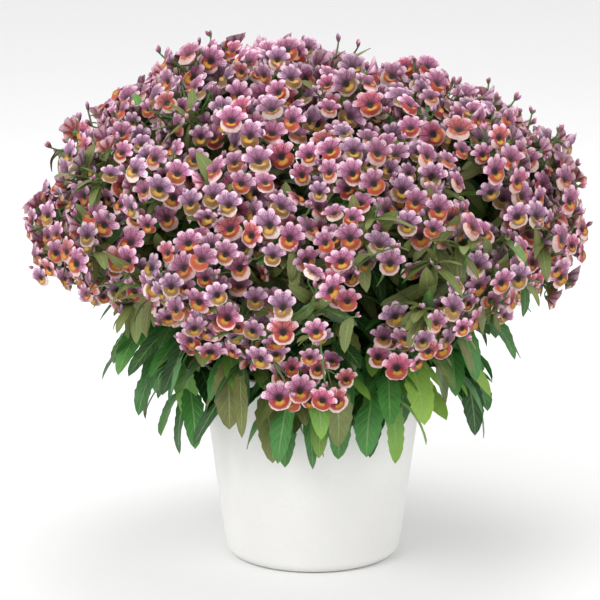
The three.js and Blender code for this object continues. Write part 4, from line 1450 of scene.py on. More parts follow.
@dataclass(frozen=True)
class StalkFinish:
    """Green stalks that flush maroon in places."""

    green: str = "#55803a"
    dark: str = "#3a5f2b"
    flush: str = "#6d4038"
    roughness: float = 0.5

    def material(self) -> bpy.types.Material:
        """The stalks' material.

        Returns:
            Long streaks of two greens, with a maroon flush by noise.
        """
        sheet = NodeSheet("stalks", Roughness=self.roughness)
        place = sheet.coordinates(Space.OBJECT)
        tint, _, _ = sheet.parts(sheet.coordinates(Space.GROWTH))
        streak = sheet.noise(sheet.scaled(place, (1, 1, 0.18)), 900.0, 4.0, 0.6)
        flush = sheet.noise(place, 38.0, 3.0, 0.55)
        green = sheet.mix(streak.step(0.35, 0.65), self.dark, self.green)
        colour = sheet.mix((flush + tint * 0.25).step(0.6, 0.85) * 0.7, green, self.flush)
        sheet.dress(colour, streak * 0.2 + (self.roughness - 0.1), streak, 0.4, 0.0004)
        return sheet.material


@dataclass(frozen=True)
class PotFinish:
    """Plain matt white ware with the faintest unevenness."""

    white: str = "#eae9e7"
    cool: str = "#dedddb"
    roughness: float = 0.5
    turning_rings_per_metre: float = 2400.0

    def material(self) -> bpy.types.Material:
        """The pot's material.

        Returns:
            Two whites blended by broad noise, over a fine orange-peel relief with faint level rings.
        """
        sheet = NodeSheet("matt_white_ware", Roughness=self.roughness)
        place = sheet.coordinates(Space.OBJECT)
        broad = sheet.noise(place, 9.0, 3.0, 0.5)
        fine = sheet.noise(place, 420.0, 4.0, 0.6)
        _, _, height = sheet.parts(place)
        rings = ((height * self.turning_rings_per_metre).sine() * 0.5 + 0.5) * 0.25
        colour = sheet.mix((broad + fine * 0.3).step(0.35, 0.95), self.white, self.cool)
        sheet.dress(colour, fine * 0.16 + (self.roughness - 0.06), fine + rings, 0.16, 0.0003)
        return sheet.material


@dataclass(frozen=True)
class CompostFinish:
    """Moist dark peat compost with paler fibres."""

    peat: str = "#1d140e"
    brown: str = "#3d2c1f"
    fibre: str = "#6b543b"
    roughness: float = 0.92

    def material(self) -> bpy.types.Material:
        """The compost's material.

        Returns:
            Crumbs by Voronoi cells and noise, with fibres by stretched noise.
        """
        sheet = NodeSheet("compost", Roughness=self.roughness)
        place = sheet.coordinates(Space.OBJECT)
        cells = {"Vector": place, "Scale": 380.0}
        crumbs = sheet.node("ShaderNodeTexVoronoi", inputs=cells, output="Distance")
        clods = sheet.noise(place, 140.0, 5.0, 0.65)
        fibre = sheet.noise(sheet.scaled(place, (1, 0.2, 1)), 800.0, 3.0, 0.6).step(0.64, 0.74)
        colour = sheet.mix((clods + crumbs * 0.3).step(0.42, 0.8), self.peat, self.brown)
        colour = sheet.mix(fibre * 0.6, colour, self.fibre)
        sheet.dress(colour, clods * 0.1 + (self.roughness - 0.05), clods + crumbs, 0.8, 0.0015)
        return sheet.material


@dataclass(frozen=True)
class StudioFinish:
    """The plain pale floor."""

    pale: tuple[float, float, float, float] = (0.9, 0.9, 0.9, 1.0)
    shade: tuple[float, float, float, float] = (0.86, 0.86, 0.86, 1.0)
    roughness: float = 0.9

    def material(self) -> bpy.types.Material:
        """A matt white with a trace of unevenness, without relief."""
        sheet = NodeSheet("studio_floor", Roughness=self.roughness)
        colour = sheet.mix(sheet.noise(sheet.coordinates(Space.OBJECT), 2.0) * 0.05, self.pale, self.shade)
        sheet.tree.links.new(colour.socket, sheet.surface.inputs["Base Color"])
        return sheet.material


# Sub-assemblies


def place_piece(piece: bpy.types.Object, slot: str, *nodes: str) -> None:
    """Sets a finished piece on the part.

    Args:
        piece: The object.
        slot: The record's material slot; not used.
        nodes: The nodes that it stands for.
    """
    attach(piece, BODY)
    if nodes:
        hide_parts(*nodes)
    LOG.info("%s: %d faces", piece.name, len(piece.data.polygons))


def lathe_loft(profile: Array, sides: int, full_height: float) -> Loft:
    """A profile turned about the upright axis.

    Args:
        profile: Radius and height of each ring, from the middle of the base outwards and up.
        sides: Sides round the axis.
        full_height: Height at which the pattern reaches 1.

    Returns:
        One form: radius cos(turn), radius sin(turn), height.
    """
    turn = 2 * math.pi * np.arange(sides) / sides
    radius, height = profile[:, :1], np.broadcast_to(profile[:, 1:], (len(profile), sides))
    places = np.stack([radius * np.cos(turn), radius * np.sin(turn), height], axis=-1)
    pattern = np.stack(np.broadcast_arrays(turn / (2 * math.pi), profile[:, 1:] / full_height), axis=-1)
    return Loft(places[None], pattern, np.full((1, 2), 0.5))


@dataclass
class PotAndCompost:
    """The tapered pot and the compost that fills it, in millimetres.

    HEAP holds the strengths and frequencies of the two waves that heap the compost.
    """

    shape: PotShape
    wall: float = 4.5
    floor: float = 7.0
    inner_rounding: float = 3.0
    foot_rounding: float = 8.0
    lip_rounding: float = 2.0
    edge_height: float = 136.0
    crown_height: float = 140.0
    wall_gap: float = 0.45
    floor_gap: float = 0.3
    sides: int = 144
    soil_sides: int = 96
    soil_wall_rings: int = 6
    soil_top_rings: int = 26
    crumb_count: int = 260
    crumb_sizes: Pair = (0.8, 2.4)
    crumb_rings: tuple[float, ...] = (0.35, 0.85, 0.8, 0.3)
    seed: int = 5

    HEAP = ((0.9, 0.21, 0.17), (0.5, 0.57, 0.44))

    def inner_radius(self, height: Array | float) -> Array:
        """Radius of the inner wall at a height."""
        return self.shape.base_radius - self.wall + self.shape.taper * np.asarray(height)

    def pot_profile(self) -> Array:
        """The pot's profile, from under the foot round to the middle of the floor inside.

        Returns:
            Radius and height of a quarter round foot, a straight wall, a half round lip, the inner wall and
            the floor, shape (n, 2).
        """
        shape, foot_rounding, lip_rounding = self.shape, self.foot_rounding, self.lip_rounding
        quarter = np.linspace(0, math.pi / 2, 10)
        edge = shape.base_radius + shape.taper * foot_rounding
        foot_radii = edge - foot_rounding * (1 - np.sin(quarter))
        foot = np.stack([foot_radii, foot_rounding * (1 - np.cos(quarter))], 1)
        heights = np.linspace(foot_rounding, shape.height - lip_rounding, 12)[1:]
        wall = np.stack([shape.base_radius + shape.taper * heights, heights], 1)
        half = np.linspace(0, math.pi, 9)[1:]
        lip_radii = shape.rim_radius - self.wall / 2 + self.wall / 2 * np.cos(half)
        lip = np.stack([lip_radii, shape.height - lip_rounding + lip_rounding * np.sin(half)], 1)
        heights = np.linspace(shape.height - lip_rounding, self.floor + self.inner_rounding, 8)[1:]
        inner = np.stack([self.inner_radius(heights), heights], 1)
        floor_radius = self.inner_radius(self.floor) - self.inner_rounding
        bottom = np.array([[floor_radius, self.floor], [1.0, self.floor]])
        return np.concatenate([[[1.0, 0.0]], foot, wall, lip, inner, bottom])

    def compost_loft(self) -> Loft:
        """The compost, whose plain crown is heaped.

        Returns:
            A turned block whose top rises by a sin(fx + 1) cos(gy) + b sin(hx + ky) and fine draws, less
            towards its edge.
        """
        radii = np.linspace(1.0, 0.02, self.soil_top_rings)
        edge = self.inner_radius(self.edge_height) - self.wall_gap
        crown = self.crown_height - (self.crown_height - self.edge_height) * radii
        bottom = self.floor + self.floor_gap
        side = np.linspace(bottom, self.edge_height, self.soil_wall_rings)[:-1]
        wall = np.stack([self.inner_radius(side) - self.wall_gap, side], 1)
        top = np.stack([radii * edge, crown], 1)
        loft = lathe_loft(np.concatenate([[[1.0, bottom]], wall, top]), self.soil_sides, self.shape.height)
        places = loft.places.copy()
        first = self.soil_wall_rings
        x, y = places[0, first:, :, 0], places[0, first:, :, 1]
        (a, f, g), (b, h, k) = self.HEAP
        heap = a * np.sin(x * f + 1) * np.cos(y * g) + b * np.sin(x * h + y * k)
        rough = np.random.default_rng(self.seed).uniform(-0.5, 0.5, heap.shape)
        inwards = np.linspace(0, 1, heap.shape[0])[:, None] ** 0.5
        places[0, first:, :, 2] += (heap + rough) * inwards
        return replace(loft, places=places)

    def crumb_loft(self) -> Loft:
        """Small clods on the compost.

        Returns:
            Squat spindles with uneven rings, at draws that are even over the disc.
        """
        draws = np.random.default_rng(self.seed + 1)
        count, rings = self.crumb_count, len(self.crumb_rings)
        turn = draws.uniform(0, 2 * math.pi, count)
        out = np.sqrt(draws.uniform(0.01, 0.92, count)) * (self.inner_radius(self.edge_height) - 4)
        level = np.full(count, self.crown_height - 1.5)
        middle = np.stack([out * np.cos(turn), out * np.sin(turn), level], 1)
        size = draws.uniform(*self.crumb_sizes, (count, 1))
        aim = unit(draws.normal(size=(count, 3)))
        path = middle[:, None] + aim[:, None] * (np.linspace(-1, 1, rings)[:, None] * size[:, None])
        radii = size * np.array(self.crumb_rings) * draws.uniform(0.7, 1.1, (count, rings))
        return tube_loft(path, radii, 5, draws.uniform(0, 1, (count, 2)))

    def build(self) -> None:
        """Makes the pot and the compost."""
        lathed = lathe_loft(self.pot_profile(), self.sides, self.shape.height)
        place_piece(loft_object("white_pot", [lathed], [PotFinish().material()]), "pot", "pot")
        lofts, finishes = [self.compost_loft(), self.crumb_loft()], [CompostFinish().material()]
        place_piece(loft_object("potting_compost", lofts, finishes, crease=80.0), "soil", "soil")


@dataclass(frozen=True)
class Clearing:
    """A place on the mound that a share of the blooms near it leave.

    Attributes:
        place: Its middle, in millimetres.
        share: Share of the blooms at its middle that leave.
        reach: How far it reaches, in millimetres.
        leafiness: Share of them whose places leaves take. The others leave a dark gap.
    """

    place: Triple
    share: float
    reach: float
    leafiness: float = 0.85


@dataclass
class FloweringTops:
    """The racemes: branches from each fork, and round each of their heads a few open blooms and buds.

    Lengths are in millimetres. The dips lower the blooms where the photo's outline lies lower than the
    solids. FACING_WEIGHTS are those of the head's facing, of the bloom's side of it and of outwards.
    branch_leaves and stalk_leaves hold each pair's ring and turn, then the leaves' size and lean. HANDLES
    say how far a curve runs straight on where it leaves and where it arrives.
    """

    growth: Growth
    petals: bpy.types.Material
    stalks: bpy.types.Material
    blades: bpy.types.Material
    bloom_form: BloomForm = field(default_factory=BloomForm)
    bud_form: BudForm = field(default_factory=BudForm)
    leaf_form: LeafForm = field(
        default_factory=lambda: LeafForm(width_share=0.31, teeth=4, across=(1.0, 0.0, -1.0), tooth_depth=0.1)
    )
    blooms_per_head: int = 6
    bloom_radius: float = 10.8
    bloom_radius_spread: float = 2.1
    facing_spread: float = 0.3
    lowest_facing: float = -25.0
    highest_facing: float = 52.0
    roll_spread: float = 0.4
    head_offset: float = 10.0
    depth: float = -7.0
    depth_spread: float = 6.5
    inset: float = 4.5
    heart: Triple = (0.0, 0.0, 200.0)
    spacing: float = 17.0
    tether: float = 8.0
    settling_rounds: int = 30
    settling_push: float = 0.25
    warm_below: float = 210.0
    warm_right_of: float = -50.0
    warm_blend: Pair = (50.0, 30.0)
    warm_strength: Pair = (0.9, 0.8)
    bud_count: int = 2
    bud_spread: float = 0.45
    branch_radius: float = 1.5
    stalk_radius: float = 0.95
    pedicel_radius: float = 0.5
    branch_rings: int = 10
    stalk_rings: int = 7
    pedicel_rings: int = 5
    leaf_length: float = 35.0
    leaf_droop: float = 32.0
    branch_leaves: tuple[Steps, float, float] = (((1, 45), (2, 0), (4, 90), (6, 30), (8, 120)), 1.15, 0.75)
    stalk_leaves: tuple[Steps, float, float] = (((1, 60),), 0.75, 0.1)
    clearings: tuple[Clearing, ...] = (
        Clearing((46, -186, 293), 0.75, 19),
        Clearing((69, -189, 258), 0.8, 21),
        Clearing((113, -165, 263), 0.85, 19),
        Clearing((158, -122, 256), 0.7, 16),
        Clearing((69, -188, 223), 0.7, 18),
        Clearing((40, -189, 214), 0.8, 24, 0.2),
        Clearing((-5, -194, 243), 0.75, 19, 0.15),
        Clearing((-10, -192, 214), 0.45, 26, 0.3),
        Clearing((-47, -190, 234), 0.6, 18, 0.2),
        Clearing((-70, -160, 190), 0.5, 24, 0.4),
        Clearing((-144, -138, 236), 0.6, 18),
        Clearing((-130, -140, 206), 0.95, 26),
        Clearing((-88, -122, 347), 0.6, 15),
        Clearing((-155, -105, 306), 0.6, 18),
        Clearing((-197, 5, 304), 1, 22, 0.2),
        Clearing((-190, 48, 300), 1, 26, 0.2),
        Clearing((118, -118, 185), 0.97, 42),
        Clearing((60, 150, 190), 0.8, 40),
        Clearing((-110, 130, 240), 0.7, 24),
    )
    dips: tuple[Swell, ...] = (
        Swell((40, 60, 370), 15, 40),
        Swell((126, 55, 343), 12, 34),
        Swell((168, 15, 324), 12, 26),
        Swell((-99, 20, 376), 12, 24),
        Swell((-5, 60, 375), 8, 30),
    )
    seed: int = 12

    FACING_WEIGHTS = (0.55, 0.3, 0.5)
    BRANCH_HANDLES = (0.35, 0.3)
    STALK_HANDLES = (8.0, 9.0)
    PEDICEL_HANDLES = (0.4, 3.5)
    LEAF_GROWTH = ((0.0, 0.8), (0.72, 1.5))

    def lay_out(self) -> None:
        """Sets the open blooms round their heads, apart from each other, and faces them outwards."""
        growth = self.growth
        self.draws = np.random.default_rng(self.seed)
        more = np.array(growth.more_heads)
        gaps = np.linalg.norm(more[:, None] - growth.raceme_centres, axis=2)
        self.tops = np.concatenate([growth.bloom_centres, more])
        self.facings = np.concatenate([growth.bloom_facings, unit(more * (1, 1, 0))])
        self.raceme_of_top = np.concatenate([growth.raceme_of_bloom, gaps.argmin(axis=1)])
        heads, per = len(self.tops), self.blooms_per_head
        own = np.repeat(np.arange(heads), per)
        self.spray_of_bloom = self.raceme_of_top[own] // growth.racemes_per_spray
        facing = self.facings[own]
        turn = np.repeat(self.draws.uniform(0, 2 * math.pi, heads), per)
        turn = turn + np.tile(2 * math.pi * np.arange(per) / per, heads)
        aside = around(facing, math.pi / 2, turn)
        depth = self.depth + self.draws.uniform(-1, 1, (len(own), 1)) * self.depth_spread
        centres = self.settled(self.dipped(self.tops[own] + self.head_offset * aside + depth * facing))
        facing = self.faced(centres, facing, aside)
        radii = self.bloom_radius + self.draws.uniform(-1, 1, len(own)) * self.bloom_radius_spread
        rolls = self.draws.normal(0, self.roll_spread, len(own))
        growths = self.warmed(centres, self.draws.uniform(0, 1, (len(own), 2)))
        self.blooms = Heads(centres, facing, radii, rolls, growths)
        self.clear()

    def dipped(self, homes: Array) -> Array:
        """Homes moved towards the mound's heart.

        Args:
            homes: Shape (n, 3).

        Returns:
            Homes sunk by the inset, and by each dip's Gaussian in turn.
        """
        heart = np.array(self.heart)
        homes = homes - self.inset * unit(homes - heart)
        for dip in self.dips:
            homes = homes - dip.lift(homes)[:, None] * unit(homes - heart)
        return homes

    def settled(self, homes: Array) -> Array:
        """Places pushed apart from each other, but held near their homes.

        Args:
            homes: Shape (n, 3).

        Returns:
            Places no further from their homes than the tether.
        """
        centres = homes.copy()
        for _ in range(self.settling_rounds):
            centres = centres + pushes_apart(centres, self.spacing, self.settling_push)
            away = centres - homes
            length = np.linalg.norm(away, axis=1, keepdims=True)
            centres = homes + away * np.minimum(1.0, self.tether / np.maximum(length, 1e-9))
        return centres

    def faced(self, centres: Array, facing: Array, aside: Array) -> Array:
        """Facings of the open blooms.

        Args:
            centres: Where they stand, shape (n, 3).
            facing: Facing of each bloom's head.
            aside: Which side of the head each stands on.

        Returns:
            Unit vectors by the facing weights and a draw, with their climb kept between its limits.
        """
        by_head, by_side, by_outward = self.FACING_WEIGHTS
        outward = unit(centres * (1, 1, 0) + 1e-6)
        drawn = self.draws.normal(0, self.facing_spread, centres.shape)
        facing = unit(by_head * facing + by_side * aside + by_outward * outward + drawn)
        climb = np.arctan2(facing[:, 2], np.linalg.norm(facing[:, :2], axis=1))
        climb = np.clip(climb, math.radians(self.lowest_facing), math.radians(self.highest_facing))
        return unit(facing * (1, 1, 0)) * np.cos(climb)[:, None] + UP * np.sin(climb)[:, None]

    def warmed(self, centres: Array, growths: Array) -> Array:
        """The blooms' draws, changed low on the right, where the photo's blooms are red and brick.

        Args:
            centres: Where they stand, shape (n, 3).
            growths: Shape (n, 2).

        Returns:
            The draws with the first lowered and the second raised there.
        """
        right_blend, low_blend = self.warm_blend
        first_strength, second_strength = self.warm_strength
        lowness = np.clip((self.warm_below - centres[:, 2]) / low_blend, 0, 1)
        warm = lowness * np.clip((centres[:, 0] - self.warm_right_of) / right_blend, 0, 1)
        first = growths[:, 0] * (1 - first_strength * warm)
        return np.stack([first, np.maximum(growths[:, 1], second_strength * warm)], axis=1)

    def clear(self) -> None:
        """Decides which blooms leave the clearings, and which of those leaves replace."""
        count = len(self.blooms.radii)
        self.shown, self.leafed = np.ones(count, bool), np.zeros(count, bool)
        for clearing in self.clearings:
            away = np.linalg.norm(self.blooms.centres - np.array(clearing.place), axis=1) / clearing.reach
            hidden = self.draws.uniform(0, 1, count) < clearing.share * np.exp(-(away**4) / 2)
            self.leafed |= hidden & self.shown & (self.draws.uniform(0, 1, count) < clearing.leafiness)
            self.shown &= ~hidden

    def spray_pieces(self, k: int) -> tuple[bpy.types.Object, bpy.types.Object]:
        """The blooms and the green parts of one spray.

        Args:
            k: Number of the spray.

        Returns:
            The piece of petals and the piece of stalks, calyxes and small leaves.
        """
        growth, draws = self.growth, self.draws
        spray = growth.sprays[k]
        racemes = np.arange(k * growth.racemes_per_spray, (k + 1) * growth.racemes_per_spray)
        cores, core_axes = growth.raceme_centres[racemes], growth.raceme_axes[racemes]
        chosen = np.isin(self.raceme_of_top, racemes)
        tops, facings = self.tops[chosen], self.facings[chosen]
        roots = growth.raceme_centres[self.raceme_of_top[chosen]]
        foot = np.repeat((spray.fork - spray.axis * growth.fork_shank)[None], len(cores), 0)
        reach = np.linalg.norm(cores - foot, axis=1, keepdims=True)
        leave, arrive = self.BRANCH_HANDLES
        leaving, arriving = spray.axis * reach * leave, core_axes * reach * arrive
        branches = arcs(foot, leaving, cores, arriving, self.branch_rings)
        ends = tops + facings * 2.0
        leave, arrive = self.STALK_HANDLES
        stalks = arcs(roots, facings * leave, ends, unit(facings + 0.5 * UP) * arrive, self.stalk_rings)
        mine = self.spray_of_bloom == k
        every, shown, leafed = self.blooms.pick(mine), self.shown[mine], self.leafed[mine]
        carrier = np.repeat(np.arange(len(tops)), self.blooms_per_head)
        joints = stalks[carrier, 3 + np.arange(len(carrier)) % 3]
        leaves = self.paired_leaves(branches, *self.branch_leaves)
        leaves += self.paired_leaves(stalks, *self.stalk_leaves)
        leaves += self.clearing_leaves(joints[leafed], every.pick(leafed))
        blooms, joints = every.pick(shown), joints[shown]
        feet = self.bloom_form.foot(blooms)
        leave, arrive = self.PEDICEL_HANDLES
        leaving = (feet - joints) * leave + 2.0 * UP
        pedicels = arcs(joints, leaving, feet, blooms.facings * arrive, self.pedicel_rings)
        bud_facings = np.repeat(facings, self.bud_count, 0)
        bud_feet = np.repeat(ends, self.bud_count, 0) - 0.5 * bud_facings
        bud_aims = unit(bud_facings + 0.8 * UP + draws.normal(0, self.bud_spread, bud_feet.shape))
        sizes = draws.uniform(0.55, 1.05, len(bud_feet))
        bud_draws, branch_draws, stalk_draws, pedicel_draws = (
            draws.uniform(0, 1, (len(forms), 2)) for forms in (bud_feet, branches, stalks, feet)
        )
        cups = bud_feet[:, None] + bud_aims[:, None] * np.array([0.0, 1.0, 2.6])[:, None]
        cup_radii = sizes[:, None] * np.array([0.5, 1.2, 1.5])
        branch_radii = np.linspace(self.branch_radius + 0.5, self.branch_radius, self.branch_rings)
        stalk_radii = np.linspace(self.stalk_radius + 0.2, self.stalk_radius - 0.3, self.stalk_rings)
        petal_lofts = [
            self.bloom_form.loft(blooms, 0),
            self.bud_form.loft(bud_feet + bud_aims * 1.2, bud_aims, sizes, bud_draws, 0),
        ]
        green_lofts = [
            tube_loft(branches, branch_radii, 8, branch_draws, ridge=0.08),
            tube_loft(stalks, stalk_radii, 5, stalk_draws),
            tube_loft(pedicels, self.pedicel_radius, 4, pedicel_draws),
            self.bloom_form.calyxes(blooms, 0),
            tube_loft(cups, cup_radii, 5, bud_draws),
            self.leaf_form.loft(leaves, draws.uniform(*self.LEAF_GROWTH, (len(leaves), 2)), 1),
        ]
        petals = loft_object(f"blooms_{k + 1}", petal_lofts, [self.petals], crease=60.0)
        return petals, loft_object(f"flower_stalks_{k + 1}", green_lofts, [self.stalks, self.blades])

    def paired_leaves(self, paths: Array, steps: Steps, size: float, lean: float) -> list[Leaf]:
        """Opposite pairs of small leaves on branches or stalks.

        Args:
            paths: Paths of the branches, shape (n, rings, 3).
            steps: Ring that each pair grows at, and its turn about the branch in degrees.
            size: Share of the full leaf length.
            lean: How far they lean along the branch.

        Returns:
            Leaves that lean out from the branch and bend a little down.
        """
        leaves = []
        for path in paths:
            for step, quarter in steps:
                along = unit(path[step + 1] - path[step - 1])
                side = around(along, math.pi / 2, math.radians(quarter) + self.draws.normal(0, 0.3))
                for sign in (1.0, -1.0):
                    forward = unit(along * lean + sign * side + 0.1 * UP)
                    normal = unit(np.cross(np.cross(forward, along), forward))
                    length = self.leaf_length * size * self.draws.uniform(0.7, 1.1)
                    leaves.append(Leaf(path[step], forward, normal, length, math.radians(self.leaf_droop)))
        return leaves

    def clearing_leaves(self, joints: Array, heads: Heads) -> list[Leaf]:
        """Leaves that grow in pairs where a clearing keeps blooms off.

        Args:
            joints: Where they grow on the stalks, shape (n, 3).
            heads: The blooms that would have stood there.

        Returns:
            Leaves that reach past those places and bend down.
        """
        joints, centres, facings = (
            np.repeat(values, 2, axis=0) for values in (joints, heads.centres, heads.facings)
        )
        reach = centres + 6.0 * facings - joints + self.draws.normal(0, 8.0, joints.shape)
        aims = unit(reach)
        normals = unit(np.cross(np.cross(aims, UP), aims))
        lengths = np.linalg.norm(reach, axis=1) * self.draws.uniform(0.9, 1.2, len(reach))
        droops = np.radians(self.draws.uniform(25, 60, len(reach)))
        return [Leaf(*values) for values in zip(joints, aims, normals, np.clip(lengths, 18.0, 32.0), droops)]

    def build(self) -> None:
        """Makes every spray's two pieces."""
        self.lay_out()
        for k in range(self.growth.spray_count):
            blooms, greens = self.spray_pieces(k)
            place_piece(blooms, "bloom", f"spray_{k + 1}")
            place_piece(greens, "stem")
        LOG.info("open blooms: %d", int(self.shown.sum()))


def coarse_leaf(width_share: float, tooth_depth: float, wave: float) -> LeafForm:
    """A leaf with five teeth a side and only three places across."""
    return LeafForm(
        width_share=width_share, tooth_depth=tooth_depth, wave=wave, teeth=5, across=(1.0, 0.0, -1.0)
    )


@dataclass
class LeafyGrowth:
    """The leafy stems under the blooms, the shoots of the solids' skirt and more shoots that close it.

    Lengths are in millimetres and angles in degrees. The filling shoots take their tiers, forms and azimuths
    in turn. They reach less far and hang less at the sides, where the photo's skirt is narrow.
    """

    growth: Growth
    stalks: bpy.types.Material
    blades: bpy.types.Material
    shoot_leaf: LeafForm = field(default_factory=lambda: LeafForm(tooth_depth=0.13, teeth=6))
    small_leaf: LeafForm = field(default_factory=lambda: coarse_leaf(0.35, 0.1, 0.05))
    broad_leaf: LeafForm = field(default_factory=lambda: coarse_leaf(0.45, 0.14, 0.08))
    narrow_leaf: LeafForm = field(default_factory=lambda: coarse_leaf(0.21, 0.08, 0.05))
    rings: int = 22
    sides: int = 12
    ridge: float = 0.12
    stem_radii: Pair = (2.3, 1.9)
    shoot_radii: Pair = (1.8, 1.1)
    stem_places: tuple[float, ...] = (0.22, 0.34, 0.46, 0.58, 0.7, 0.8, 0.9, 0.98)
    stem_habit: LeafHabit = LeafHabit(62, 44, 36, 6)
    stem_first_turn: float = 15.0
    extra_count: int = 80
    extra_first_azimuth: float = 9.0
    extra_tiers: tuple[tuple[Pair, ...], ...] = (
        ((62.0, 126.0), (64.0, 182.0), (94.0, 188.0), (114.0, 150.0)),
        ((44.0, 126.0), (52.0, 208.0), (100.0, 222.0), (138.0, 188.0)),
        ((58.0, 126.0), (62.0, 178.0), (86.0, 184.0), (103.0, 143.0)),
        ((50.0, 126.0), (56.0, 198.0), (96.0, 208.0), (128.0, 166.0)),
    )
    extra_places: tuple[float, ...] = (0.3, 0.42, 0.54, 0.66, 0.8, 0.94)
    extra_swing: float = 17.0
    extra_turn_spread: float = 35.0
    least_leaves: int = 3
    side_reach: tuple[float, ...] = (0.0, 0.0, -0.18, -0.14)
    side_rise: tuple[float, ...] = (0.0, 0.0, 12.0, 30.0)
    side_stiffness: float = 0.6
    side_lift: float = 26.0
    extra_habits: tuple[LeafHabit, ...] = (
        LeafHabit(86, 36, 44, 18),
        LeafHabit(82, 40, 44, 16),
        LeafHabit(78, 44, 44, 14),
        LeafHabit(68, 44, 46, 10),
        LeafHabit(56, 40, 46, 8),
        LeafHabit(44, 36, 44, 6),
    )
    crowding: float = -7.0
    head_room: float = 26.0
    leaf_tries: int = 8
    leaf_swing: float = 24.0
    leaf_droop_spread: float = 24.0
    sunny_place: Triple = (75.0, -100.0, 150.0)
    sunny_reach: float = 50.0
    bronzed_place: Triple = (-45.0, -110.0, 150.0)
    bronzed_reach: float = 52.0
    seed: int = 23

    TWIST = np.array([0.0, 0.0, 0.5, 1.0])
    SUNNY_TINT = (0.8, 0.3)
    BRONZE_TINT = 0.65

    def stem_loft(self, path: Bezier, radii: Pair, random: Array) -> Loft:
        """A square stem along a curve, tapering from its foot to its tip."""
        places = path.at(np.linspace(0, 1, self.rings))[None]
        return tube_loft(places, np.linspace(*radii, self.rings), self.sides, random, ridge=self.ridge)

    def more_stem_leaves(self, k: int) -> list[Leaf]:
        """Leaf pairs of a flowering stem between those that its solid has.

        Args:
            k: Number of the stem.

        Returns:
            The leaves that could be fitted, each pair a quarter turn on from the last.
        """
        path, owner = self.growth.sprays[k].path, self.growth.stem_owner(k)
        leaves = []
        for step, place in enumerate(self.stem_places):
            turn = 90.0 * step + self.stem_first_turn
            leaves += self.growth.leaf_pair(owner, path, place, turn, self.stem_habit)
        return leaves

    def extra_shoot(self, j: int) -> Shoot:
        """One more shoot of the skirt, with its leaves fitted between the others.

        Args:
            j: Its number, which gives its tier and azimuth.

        Returns:
            The shoot.
        """
        growth, tiers = self.growth, len(self.extra_tiers)
        azimuth = (j + (j % tiers) / tiers) * 360.0 / self.extra_count
        phi = math.radians(growth.first_azimuth + self.extra_first_azimuth + azimuth)
        reach, height = np.array(self.extra_tiers[j % tiers]).T
        sideness = math.cos(phi) ** 4
        reach = reach * (1 + sideness * np.array(self.side_reach))
        height = height + sideness * np.array(self.side_rise)
        turn = phi + math.radians(growth.draws.around(0, self.extra_swing)) * self.TWIST
        path = Bezier(np.stack([reach * np.cos(turn), reach * np.sin(turn), height], axis=-1))
        owner = growth.shoot_owner(growth.shoot_count + j)
        growth.ground.occupy(path.at(np.linspace(0, 1, growth.SHOOT_SPHERES)), growth.shoot_radius, owner)
        shoot = Shoot(path)
        for place, habit in zip(self.extra_places, self.extra_habits):
            droop = habit.droop * (1 - self.side_stiffness * sideness)
            own = replace(habit, droop=droop, lift=habit.lift + self.side_lift * sideness)
            turned = growth.draws.around(0, self.extra_turn_spread)
            shoot.leaves += growth.leaf_pair(owner, path, place, turned, own)
        shoot.leaves += growth.end_leaf(owner, path)
        return shoot

    def shoot_piece(
        self, name: str, shoot: Shoot, form: LeafForm, draws: np.random.Generator
    ) -> bpy.types.Object:
        """A shoot's stem and leaves as one piece.

        Args:
            name: The piece's name.
            shoot: The shoot.
            form: Form of its leaves.
            draws: Draws of the stem and the leaves.

        Returns:
            The piece, brighter near the sunny place and more bronze near the bronzed place.
        """
        stem = self.stem_loft(shoot.path, self.shoot_radii, draws.uniform(0, 1, (1, 2)))
        growth = draws.uniform(0, 1, (len(shoot.leaves), 2))
        bases = np.array([leaf.base for leaf in shoot.leaves])
        sunny = np.linalg.norm(bases - self.sunny_place, axis=1) / self.sunny_reach
        bronzed = np.linalg.norm(bases - self.bronzed_place, axis=1) / self.bronzed_reach
        kept, added = self.SUNNY_TINT
        growth[:, 0] = kept * growth[:, 0] + added * np.exp(-(sunny**2))
        growth[:, 1] += self.BRONZE_TINT * np.exp(-(bronzed**2))
        return loft_object(name, [stem, form.loft(shoot.leaves, growth, 1)], [self.stalks, self.blades])

    def loosen(self) -> None:
        """Lets the leaves that only the scene has crowd and swing more than those of the solids."""
        growth = self.growth
        growth.ground.occupy(np.array(growth.more_heads), self.head_room, -1)
        growth.leaf_margin = self.crowding
        growth.leaf_tries = self.leaf_tries
        growth.leaf_swing = self.leaf_swing
        growth.leaf_droop_spread = self.leaf_droop_spread

    def stem_piece(self, k: int, draws: np.random.Generator) -> bpy.types.Object:
        """A flowering stem and its leaves as one piece."""
        spray = self.growth.sprays[k]
        lofts = [self.stem_loft(spray.path, self.stem_radii, draws.uniform(0, 1, (1, 2)))]
        for form, leaves in ((self.shoot_leaf, spray.leaves), (self.small_leaf, self.more_stem_leaves(k))):
            lofts += [form.loft(leaves, draws.uniform(0, 1, (len(leaves), 2)), 1)] if leaves else []
        return loft_object(f"flowering_stem_{k + 1}", lofts, [self.stalks, self.blades])

